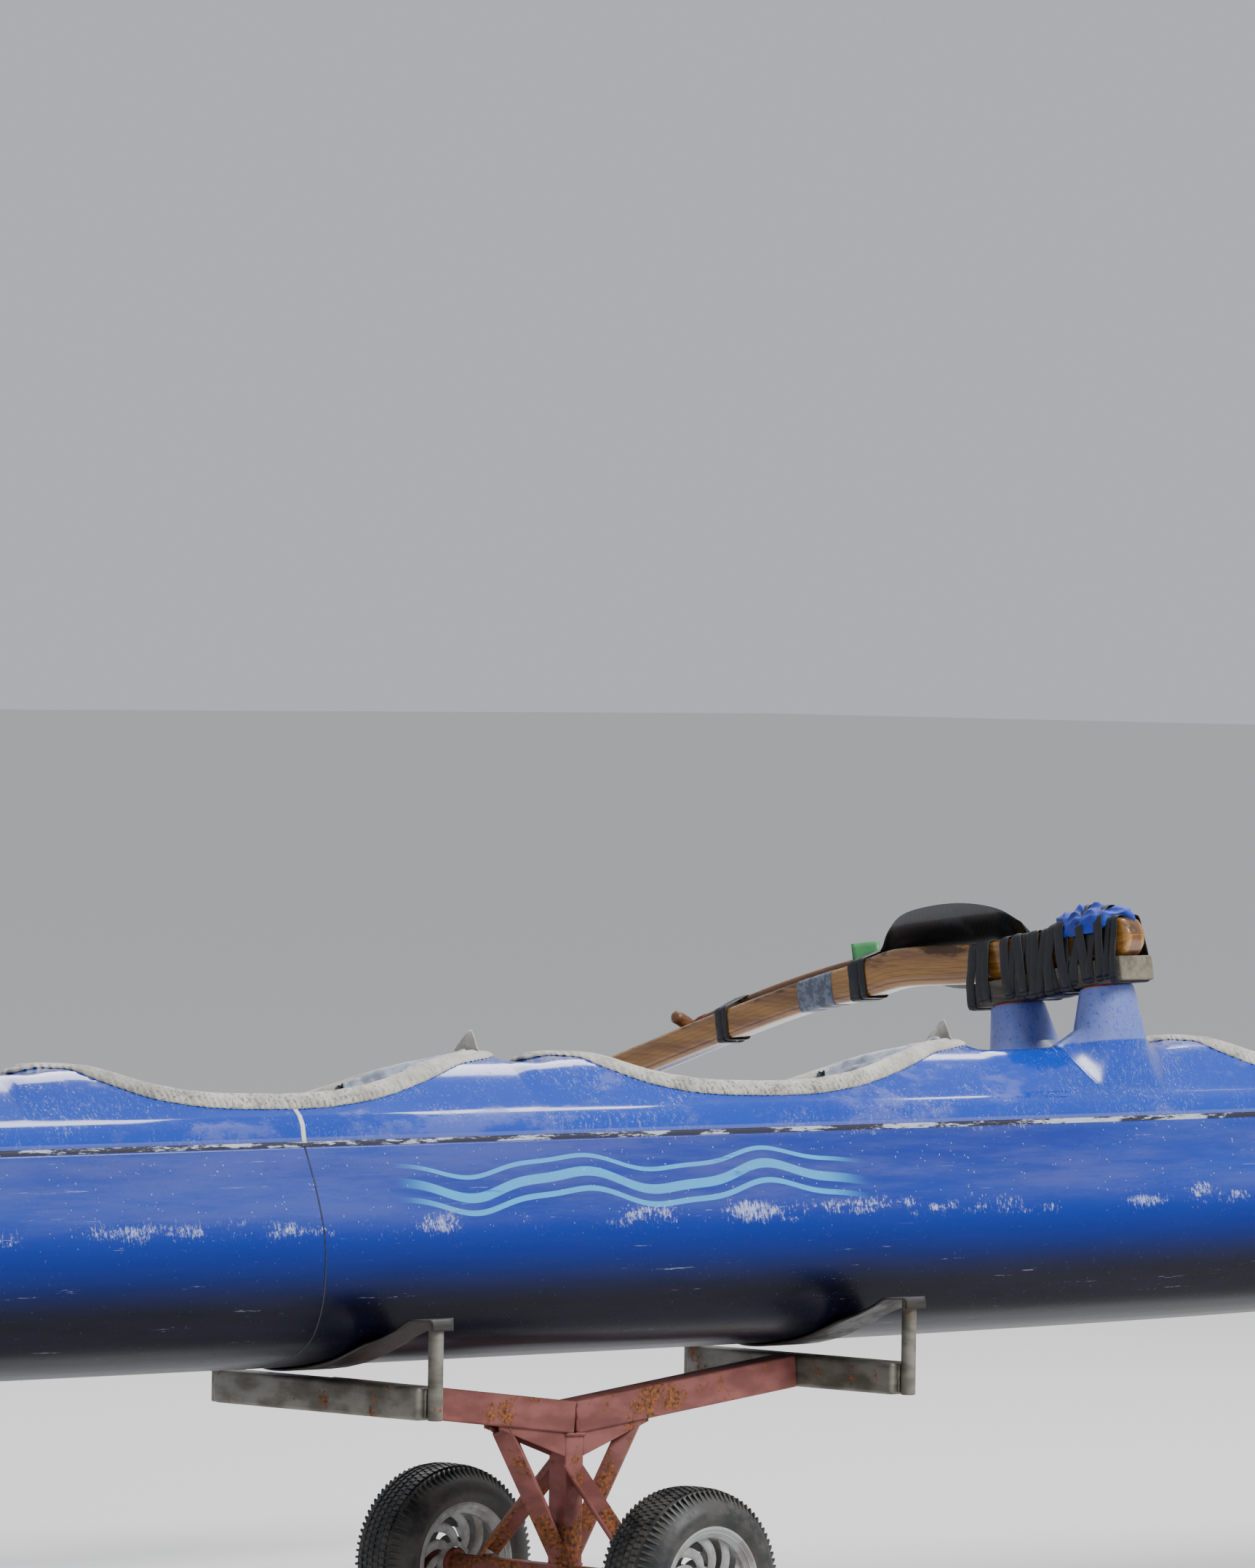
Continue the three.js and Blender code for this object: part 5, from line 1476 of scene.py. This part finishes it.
def angle_iron(start, end, roll, flange=38, thick=6):
    """A length of angle iron with softened edges."""
    start, end = Vector(start), Vector(end)
    corners = [(0, 0), (flange, 0), (flange, thick), (thick, thick), (thick, flange), (0, flange)]
    outline = [(a - flange / 2, b - flange / 2, 0) for a, b in corners]
    bm = plate(outline, (0, 0, (end - start).length))
    bevelled(bm, 1.4, 2, 60)
    turn = Vector((0, 0, 1)).rotation_difference((end - start).normalized()).to_matrix().to_4x4()
    bm.transform(Matrix.Translation(start) @ turn @ Matrix.Rotation(roll, 4, "Z"))
    return bm


def weld_bead(points, radius, seed):
    """A lumpy run of weld along a line."""
    points = [Vector(p) for p in points]
    length = sum((b - a).length for a, b in zip(points, points[1:]))
    bm = tube_along(spaced(points, max(6, int(length / 5))), radius, 8)
    for vert in bm.verts:
        vert.co += wobble(vert.co, 7, 1.5, seed)
    return bm


def square_loop(z, half_x, half_y):
    ways = ((-1, -1), (1, -1), (1, 1), (-1, 1), (-1, -1))
    return [(a * half_x, b * half_y, z) for a, b in ways]


def gusset(way, y):
    """A shallow plate that stiffens the joint between spine and column."""
    corners = [(way * 24, 490.5), (way * 205, 511.2), (way * 205, 504), (way * 24, 442)]
    return bevelled(plate([(a, y, z) for a, z in corners], (0, 5, 0)), 1.2, 1, 50)


def trolley_chassis():
    """Spine, column, axle and braces, welded up from tube and angle iron."""
    slope = math.atan2(SPINE["end_top"] - SPINE["middle_top"], CROSSBAR_REACH)
    end = CROSSBAR_REACH - CROSSBAR_SIDE / 2 - 0.3
    parts = []
    for way in (-1, 1):
        rise = math.tan(slope) * end / 2 - SPINE["depth"] / 2
        middle = Matrix.Translation((way * end / 2, 0, SPINE["middle_top"] + rise))
        turn = Matrix.Rotation(-way * slope, 4, "Y")
        size = (end / math.cos(slope) - 3, SPINE["width"], SPINE["depth"])
        parts.append(bar(size, middle @ turn, 5, 3))
        parts += [gusset(way, y) for y in (-24, 19)]
        parts.append(angle_iron((way * 180, 0, 507), (way * 14, 0, 240), math.pi / 4))
        parts.append(angle_iron((0, way * 14, 430), (0, way * 222, 229), math.pi / 4))
        beads = [
            ([(way * 196, -16, 506), (way * 178, 0, 486), (way * 196, 16, 506)], 4, way),
            ([(way * 28, -20, 262), (way * 30, 0, 238), (way * 28, 20, 262)], 4, way + 3),
            ([(0, way * 31, 548), (0, way * 31, 492)], 3.6, way + 8),
            ([(-20, way * 232, 226), (0, way * 240, 224), (20, way * 232, 226)], 4, way + 5),
        ]
        parts += [weld_bead(*bead) for bead in beads]
        for radius, near, far in ((12.5, 248, 400), (22, 256, 315), (22, 397, 405)):
            ends = [(0, way * port, AXLE_HEIGHT) for port in (near, far)]
            parts.append(rod(radius, *ends, 28))
    parts.append(bar((50, 50, 268), Matrix.Translation((0, 0, 355)), 4, 3))
    parts.append(bar((40, 524, 40), Matrix.Translation((0, 0, AXLE_HEIGHT)), 4, 3))
    parts.append(weld_bead(square_loop(486, 26, 26), 4.2, 1))
    parts.append(weld_bead(square_loop(225, 26, 21), 4.2, 2))
    return joined(parts)


def crossbar(at):
    """A rounded square bar with a post welded to each of its ends."""
    middle = CROSSBAR_BOTTOM + CROSSBAR_SIDE / 2
    parts = [bar((65, 596, 65), Matrix.Translation((at, 0, middle)), 9, 4)]
    for side in (-1, 1):
        y = side * POST_PORT
        parts.append(rod(15, (at, y, CROSSBAR_BOTTOM), (at, y, POST_TOP), 28))
        for edge in (-1, 1):
            start = (at + edge * 13, side * 300, CROSSBAR_BOTTOM + 4)
            parts.append(weld_bead([start, (start[0], start[1], start[2] + 57)], 3.4, at + side + edge))
    return joined(parts)


def sling_line(x):
    """The line in which a sling hangs from post to post round the heeled hull."""
    lift = 2.8
    top = POST_TOP + lift
    hull = []
    for j in range(97):
        side = -1 if j < 48 else 1
        point = hull_point(x, abs(j / 48 - 1), side, lift + 0.5)
        y = point.y * math.cos(HEEL) + point.z * math.sin(HEEL)
        z = KEEL_LIFT * 1000 - point.y * math.sin(HEEL) + point.z * math.cos(HEEL)
        if z < top + 40:
            hull.append(Vector((y, z)))
    points = sorted([Vector((-296, top)), *hull, Vector((296, top))], key=lambda p: p.x)
    line = []
    for point in points:
        while len(line) > 1 and (line[-1] - line[-2]).cross(point - line[-2]) <= 0:
            line.pop()
        line.append(point)
    outside = 334
    start = [Vector((-outside, POST_TOP - 20)), Vector((-outside, top - 6)), Vector((-outside + 6, top))]
    end = [Vector((-p.x, p.y)) for p in reversed(start)]
    return [*start, *line, *end]


def sling(x, at):
    """A wide rubber sheet slung between two posts. It narrows a little where it hangs free."""
    line = spaced(sling_line(x), 90)
    lengths = len(line) - 1

    def place(i, j):
        across = j / 10 * 2 - 1
        y, z = line[i]
        free = ease(abs(y), 150, 215) * (1 - ease(abs(y), 240, 300))
        half = SLING_WIDTH / 2 * (1 - 0.2 * free * abs(across) - 0.5 * ease(abs(y), 300, 334))
        ripple = 2.2 * free * noise.noise(Vector((y * 0.02, across * 1.5, x * 0.01)))
        curl = 1.8 * free * across * across
        return Vector((at + across * half, y, z - curl + ripple))

    bm = surface(lengths, 10, place, lambda i, j: (i * 0.01, j * 0.01))
    return facing(bm, lambda spot: (at, 0, 900))


def tyre(port, lugs):
    """A turf tyre with small tread blocks and fine shoulder ribs."""
    outer = [(198.5, 0), (198, 22), (194, 38), (184, 55), (166, 72), (146, 79), (130, 70), (116, 62)]
    side = [(p.x, p.y) for p in smooth_line(outer, 3)] + [(114.6, 50), (150, 58), (182, 30)]
    profile = [*side, (186, 0), *[(r, -w) for r, w in side[:0:-1]]]
    # Each block's share of a pitch, distance across, radius, lean and size.
    blocks = [(0.0, 0, 197.4, 0.0, (14 * 0.62, 11, 8))]
    for way in (-1, 1):
        blocks += [
            (0.5, way * 15.5, 197.4 - 15.5 * 0.05, way * 0.18, (14 * 0.62, 11, 8)),
            (0.0, way * 31, 197.4 - 31 * 0.05, way * 0.18, (15 * 0.62, 12, 8)),
            (0.25, way * 56, 181, way * 0.95, (4.6, 34, 7)),
        ]
    tread = bmesh.new()
    for k in range(lugs):
        for share, across, radius, lean, size in blocks:
            place = (
                Matrix.Translation((0, port, AXLE_HEIGHT))
                @ Matrix.Rotation(2 * math.pi * (k + share) / lugs, 4, "Y")
                @ Matrix.Translation((0, across, radius)) @ Matrix.Rotation(-lean, 4, "X")
                @ Matrix.Diagonal((*size, 1))
            )
            bmesh.ops.create_cube(tread, size=1, matrix=place, calc_uvs=False)
    return joined([turned(profile, port, 96), tread])


def wheel_rim(port, spokes):
    """A moulded rim whose curved spokes sweep round like a fan's blades."""
    barrel = [
        (113.6, -64.3), (127, -64.3), (128, -68), (122, -69), (104, -56), (101, -20), (101, 20),
        (104, 56), (122, 69), (128, 68), (127, 64.3), (113.6, 64.3),
    ]
    parts = [turned(barrel, port, 96)]
    for face in (-1, 1):
        ring = [(34, face * 36), (46, face * 34), (46, face * 28), (34, face * 28)]
        parts.append(turned(ring, port, 48))
        for k in range(spokes):
            base = 2 * math.pi * k / spokes

            def place(i, j, base=base, face=face):
                share = i / 10
                radius = 40 + 64 * share
                sweep = base + face * 0.75 * share ** 1.2
                angle = 2 * math.pi * j / 10
                wide = (9 + 9 * share) * math.cos(angle)
                thick = 3.5 * math.sin(angle)
                turn = sweep + wide / radius
                width = port + face * (33 + 12 * math.sin(math.pi * share * 0.5)) + thick
                return Vector((radius * math.sin(turn), width, AXLE_HEIGHT + radius * math.cos(turn)))

            blade = surface(10, 10, place, lambda i, j: (i, j), weld=0.001)
            parts.append(capped(blade))
    return joined(parts)


def wheel_hub(port):
    """The steel hub that runs on the trolley's spindle."""
    tube = [(13, -40), (30, -40), (33, -34), (33, 34), (30, 40), (13, 40)]
    return turned(tube, port, 48)


def placed(name, data):
    """An object in the scene, for a mesh, a lamp or a camera."""
    thing = bpy.data.objects.new(name, data)
    bpy.context.scene.collection.objects.link(thing)
    return thing


def photo_camera():
    """The photograph's viewpoint: low, far back and looking slightly down. Its sizes are in pixels."""
    focal, width, across, down = 15180, 2156, 86.5, 238
    forward = Vector((0.6884, 0.7254, 0)).normalized()
    right = Vector((forward.y, -forward.x, 0))
    aim = (forward + right * (across / focal)).normalized()
    pitch = math.atan(down / focal)
    view = aim * math.cos(pitch) + Vector((0, 0, -math.sin(pitch)))
    camera = placed("camera", bpy.data.cameras.new("camera"))
    camera.data.lens, camera.data.sensor_width, camera.data.clip_end = focal / width * 36, 36, 400
    turn = view.to_track_quat("-Z", "Y").to_matrix().to_4x4()
    spot = Matrix.Translation(Vector((0.8, SHIFT, 2.13)) - forward * 22)
    camera.matrix_world = spot @ turn @ Matrix.Rotation(math.radians(0.8), 4, "Z")
    return camera


def lashed(name, bands, node):
    """Turns of rubber band in place of a lashing's node."""
    return finished(name, bands, "rubber", "black_rubber", [node], sharp=60, thick=0.0016)


class CanoeLooks(bpy.types.PropertyGroup):
    hull_blue: bpy.props.FloatVectorProperty(
        name="Hull blue", description="Gel coat on the flared side", subtype="COLOR",
        default=(0.0035, 0.022, 0.24),
    )
    # The underside colour is painted shade: it stands in for the shade below the knuckle.
    hull_shade: bpy.props.FloatVectorProperty(
        name="Hull underside", description="Darker gel coat below the knuckle", subtype="COLOR",
        default=(0.0008, 0.0012, 0.006),
    )
    deck_blue: bpy.props.FloatVectorProperty(
        name="Deck blue", description="Gel coat of the deck", subtype="COLOR", default=(0.003, 0.04, 0.38),
    )
    cloth_blue: bpy.props.FloatVectorProperty(
        name="Cloth blue", description="Bunched cloth at the fore beam", subtype="COLOR",
        default=(0.008, 0.06, 0.55),
    )


class CanoeSizes(bpy.types.PropertyGroup):
    trim_width: bpy.props.FloatProperty(
        name="Trim width", description="How far the rim's trim cloth folds down the deck",
        default=0.031, min=0.015, max=0.05, subtype="DISTANCE", unit="LENGTH",
    )
    pucker_height: bpy.props.FloatProperty(
        name="Pucker height", description="How far the trim's gathers stand out",
        default=0.0026, min=0, max=0.004, subtype="DISTANCE", unit="LENGTH",
    )
    flap_height: bpy.props.FloatProperty(
        name="Flap height", description="How high the trim's loose point stands",
        default=0.046, min=0.01, max=0.08, subtype="DISTANCE", unit="LENGTH",
    )
    hull_wall: bpy.props.FloatProperty(
        name="Shell wall", description="Wall of the hull and the deck",
        default=0.008, min=0.004, max=0.012, subtype="DISTANCE", unit="LENGTH",
    )
    tread_rows: bpy.props.IntProperty(
        name="Tread pitch", description="Blocks round each tyre", default=88, min=40, max=120,
    )
    rim_spokes: bpy.props.IntProperty(
        name="Spokes", description="Curved spokes in each rim", default=10, min=6, max=16,
    )
    floor_size: bpy.props.FloatProperty(
        name="Floor", description="Half side of the floor", default=150, min=10, max=200,
        subtype="DISTANCE", unit="LENGTH",
    )


class CANOE_OT_hull(bpy.types.Operator):
    """Make the hull's shell with its bulkheads"""

    bl_idname = "canoe.hull"
    bl_label = "Hull"
    bl_options = {"REGISTER", "UNDO"}

    def execute(self, context):
        wall = context.scene.canoe_sizes.hull_wall
        nodes = [f"hull_{section}" for section in SECTIONS]
        finished("hull_skin", hull_skin(), ("hull", "inside"), "hull_blue", nodes, sharp=60, thick=wall)
        finished("bulkheads", joined([bulkhead(x) for x in BULKHEADS]), "inside", "hull_blue")
        return {"FINISHED"}


class CANOE_OT_deck(bpy.types.Operator):
    """Make the deck with its cockpit openings and the beams' moulded feet"""

    bl_idname = "canoe.deck"
    bl_label = "Deck"
    bl_options = {"REGISTER", "UNDO"}

    def execute(self, context):
        wall = context.scene.canoe_sizes.hull_wall
        nodes = [f"deck_{section}" for section in SECTIONS]
        finished("deck_skin", deck_skin(), ("deck", "inside"), "deck_blue", nodes, sharp=32, thick=wall)
        for end, x in BEAMS.items():
            feet = joined([pedestal(x, side) for side in (-1, 1)])
            finished(f"pedestals_{end}", feet, "foot", "deck_blue", sharp=60, thick=0.004)
        return {"FINISHED"}


class CANOE_OT_cockpits(bpy.types.Operator):
    """Dress each cockpit's rim with its trim, bunched spray skirt and loose flap"""

    bl_idname = "canoe.cockpits"
    bl_label = "Cockpit cloth"
    bl_options = {"REGISTER", "UNDO"}

    def execute(self, context):
        sizes = context.scene.canoe_sizes
        for number, aft in enumerate(COCKPIT_AFT_ENDS, 1):
            rim, cover = f"rim_trim_{number}", [f"cover_{number}"]
            trim = finished(rim, rim_trim(aft, sizes), "trim", "trim_fabric", cover, sharp=70, thick=0.002)
            skirt = finished(
                f"spray_skirt_{number}", spray_skirt(aft), "skirt", "trim_fabric", sharp=80, thick=0.0014,
            )
            shape = peak_flap(aft, sizes.flap_height * 1000)
            flap = finished(f"trim_flap_{number}", shape, "trim", "trim_fabric", thick=0.0022)
        return {"FINISHED"}


class CANOE_OT_fittings(bpy.types.Operator):
    """Finish the seats and pads, and make the blocks under the beams"""

    bl_idname = "canoe.fittings"
    bl_label = "Seats, pads and blocks"
    bl_options = {"REGISTER", "UNDO"}

    def execute(self, context):
        seats = [f"seat_{number}" for number in range(1, 7)]
        pads = [f"pad_{end}_{side}" for end in BEAMS for side in ("port", "starboard")]
        for name, nodes in (("seat", seats), ("pad", pads)):
            for node in nodes:
                bpy.data.objects[node].material_slots[0].material = finish(name)
        for end, x in BEAMS.items():
            wood = bar(BLOCK, Matrix.Translation((x, 0, BLOCK_BOTTOM + BLOCK[2] / 2)), 5, 3)
            for vert in wood.verts:
                vert.co += wobble(vert.co, 60, 0.5, x)
            wood.normal_update()
            for face in wood.faces:
                face.material_index = int(abs(face.normal.y) > 0.4)
            finished(f"block_{end}", wood, ("timber", "end_grain"), "grey_timber", [f"beam_block_{end}"])
        return {"FINISHED"}


class CANOE_OT_beams(bpy.types.Operator):
    """Make the laminated beams and the rubber lashings that hold them"""

    bl_idname = "canoe.beams"
    bl_label = "Beams and lashings"
    bl_options = {"REGISTER", "UNDO"}

    def execute(self, context):
        for end, x in BEAMS.items():
            finished(
                f"laminated_beam_{end}", beam_body(x), "laminate", "varnished_wood", [f"beam_{end}"],
                sharp=50,
            )
            lashed(f"lashing_bands_{end}", hull_bands(x, end == "fore"), f"hull_lashing_{end}")
            tape = beam_sleeve(x, *SLEEVE_ENDS)
            finished(f"beam_tape_{end}", tape, "grey_tape", "trim_fabric", sharp=60, thick=0.0008)
            lashed(f"float_bands_{end}", float_bands(x), f"float_lashing_{end}")
        return {"FINISHED"}


class CANOE_OT_paddle(bpy.types.Operator):
    """Make the spare paddle and the bands that hold it to the fore beam"""

    bl_idname = "canoe.paddle"
    bl_label = "Spare paddle"
    bl_options = {"REGISTER", "UNDO"}

    def execute(self, context):
        finished("paddle_wood", paddle_wood(), "shaft", "varnished_wood", ["paddle_shaft"], sharp=50)
        finished("paddle_carbon", paddle_blade(), "carbon", "carbon", ["paddle_blade"], sharp=50)
        near, far = ((PADDLE_X, port, paddle_height(port)) for port in COLLAR_ENDS)
        finished("paddle_collar", rod(15.6, near, far, 28), "collar", "red_pad")
        finished("tie_tag", tie_tag(), "tag", "trim_fabric", thick=0.0012)
        for place, turns in PADDLE_TIES.items():
            lashed(f"paddle_bands_{place}", paddle_bands(turns), f"paddle_tie_{place}")
        return {"FINISHED"}


class CANOE_OT_cloth(bpy.types.Operator):
    """Bunch the blue cloth under the bands at the fore beam's near end"""

    bl_idname = "canoe.cloth"
    bl_label = "Blue cloth"
    bl_options = {"REGISTER", "UNDO"}

    def execute(self, context):
        shape = bunched_cloth(BEAMS["fore"])
        cloth = finished(
            "bunched_cloth", shape, "blue_cloth", "blue_cloth", ["cloth_wrap"], sharp=80, thick=0.0012,
        )
        return {"FINISHED"}


class CANOE_OT_float(bpy.types.Operator):
    """Make the float with its two posts"""

    bl_idname = "canoe.float"
    bl_label = "Float"
    bl_options = {"REGISTER", "UNDO"}

    def execute(self, context):
        finished("float_skin", float_skin(), "deck", "hull_blue", ["float"], sharp=50)
        for end, x in BEAMS.items():
            finished(f"float_post_{end}", float_post(x), "deck", "deck_blue", sharp=45)
        low, high = ((DRAIN_X, FLOAT["port"], height) for height in (452, 470))
        finished("float_drain_plug", rod(9, low, high, 20), "sealant", "black_rubber")
        return {"FINISHED"}


class CANOE_OT_trolleys(bpy.types.Operator):
    """Make the two welded trolleys with their crossbars and posts"""

    bl_idname = "canoe.trolleys"
    bl_label = "Trolleys"
    bl_options = {"REGISTER", "UNDO"}

    def execute(self, context):
        for end, x in TROLLEYS.items():
            place, node = as_trolley(end), f"trolley_{end}"
            finished(
                f"chassis_{end}", trolley_chassis(), "primer", "red_primer", [f"{node}_frame"], place,
                sharp=40,
            )
            for row, at in (("fore", CROSSBAR_REACH), ("aft", -CROSSBAR_REACH)):
                bar_name, sling_name = f"bar_{end}_{row}", f"sling_{end}_{row}"
                finished(
                    bar_name, crossbar(at), "zinc", "galvanised", [f"{node}_crossbar_{row}"], place, sharp=40,
                )
                hung = finished(
                    sling_name, sling(x * 1000 + at, at), "sling", "black_rubber", [f"{node}_sling_{row}"],
                    place, sharp=60, thick=-0.0045,
                )
        return {"FINISHED"}


class CANOE_OT_wheels(bpy.types.Operator):
    """Make the four wheels, each riding on its own joint"""

    bl_idname = "canoe.wheels"
    bl_label = "Wheels"
    bl_options = {"REGISTER", "UNDO"}

    def execute(self, context):
        sizes = context.scene.canoe_sizes
        for end in TROLLEYS:
            for side, port in (("port", WHEEL_PORT), ("starboard", -WHEEL_PORT)):
                seat = {"place": as_trolley(end), "body": f"wheel_{end}_{side}"}
                tyre_node, rim_node = (f"trolley_{end}_{part}_{side}" for part in ("tyre", "rim"))
                finished(
                    f"tyre_{end}_{side}", tyre(port, sizes.tread_rows), "tyre", "tyre_rubber", [tyre_node],
                    sharp=35, **seat,
                )
                finished(
                    f"rim_{end}_{side}", wheel_rim(port, sizes.rim_spokes), "wheel", "rim_plastic",
                    [rim_node], sharp=45, **seat,
                )
                finished(f"hub_{end}_{side}", wheel_hub(port), "hub", "red_primer", sharp=45, **seat)
        return {"FINISHED"}


class CANOE_OT_tapes(bpy.types.Operator):
    """Lay the sealed seam, the midship joint and the small tapes"""

    bl_idname = "canoe.tapes"
    bl_label = "Seams and tapes"
    bl_options = {"REGISTER", "UNDO"}

    def execute(self, context):
        seams = joined([seam_strip(side, 6.5, 1.1) for side in (-1, 1)])
        finished("gunwale_seam", seams, "seam_tape", "black_rubber", sharp=80, thick=0.0009)
        finished("midship_joint", strip_on_hull(0, 1.6, 0.7), "sealant", "black_rubber", thick=0.0006)
        finished("midship_tape", strip_on_deck(0, 6, 0.8), "joint_tape", "trim_fabric", thick=0.0006)
        return {"FINISHED"}


class CANOE_OT_stage(bpy.types.Operator):
    """Lay the floor and set the lights and the camera"""

    bl_idname = "canoe.stage"
    bl_label = "Stage"
    bl_options = {"REGISTER", "UNDO"}

    def execute(self, context):
        half = context.scene.canoe_sizes.floor_size
        bm = surface(1, 1, lambda i, j: Vector(((2 * i - 1) * half, (2 * j - 1) * half, 0)))
        mesh = bpy.data.meshes.new("floor")
        bm.to_mesh(mesh)
        bm.free()
        mesh.materials.append(finish("floor"))
        placed("floor", mesh)
        world = context.scene.world or bpy.data.worlds.new("studio")
        context.scene.world = world
        world.use_nodes = True
        sky = world.node_tree.nodes["Background"].inputs
        sky["Color"].default_value = (0.84, 0.87, 0.93, 1)
        sky["Strength"].default_value = 0.62
        for name, place, aim, power, size in (
            ("soft key", (4, -10, 10), (1, 0, 0.8), 2100, 5.0),
            ("sky fill", (8, 4, 12), (0, 0, 0.6), 1500, 8.0),
        ):
            lamp = bpy.data.lights.new(name, "AREA")
            lamp.energy, lamp.size = power, size
            lit = placed(name, lamp)
            lit.location = place
            lit.rotation_euler = (Vector(aim) - Vector(place)).to_track_quat("-Z", "Y").to_euler()
        context.scene.camera = photo_camera()
        return {"FINISHED"}


OPERATORS = (
    CANOE_OT_stage, CANOE_OT_hull, CANOE_OT_deck, CANOE_OT_cockpits, CANOE_OT_fittings, CANOE_OT_beams,
    CANOE_OT_paddle, CANOE_OT_cloth, CANOE_OT_float, CANOE_OT_trolleys, CANOE_OT_wheels, CANOE_OT_tapes,
)


class CANOE_PT_panel(bpy.types.Panel):
    bl_label = "Outrigger canoe"
    bl_idname = "CANOE_PT_panel"
    bl_space_type = "VIEW_3D"
    bl_region_type = "UI"
    bl_category = "Canoe"

    def draw(self, context):
        column = self.layout.column()
        for operator in OPERATORS:
            column.operator(operator.bl_idname)
        for group in (context.scene.canoe_sizes, context.scene.canoe_looks):
            for name in group.__annotations__:
                column.prop(group, name)


CLASSES = (CanoeLooks, CanoeSizes, *OPERATORS, CANOE_PT_panel)


def register():
    for each in CLASSES:
        bpy.utils.register_class(each)
    bpy.types.Scene.canoe_looks = bpy.props.PointerProperty(type=CanoeLooks)
    bpy.types.Scene.canoe_sizes = bpy.props.PointerProperty(type=CanoeSizes)


def unregister():
    del bpy.types.Scene.canoe_sizes
    del bpy.types.Scene.canoe_looks
    for each in reversed(CLASSES):
        bpy.utils.unregister_class(each)


def main():
    register()
    for operator in OPERATORS:
        group, name = operator.bl_idname.split(".")
        getattr(getattr(bpy.ops, group), name)()


if __name__ == "__main__":
    main()
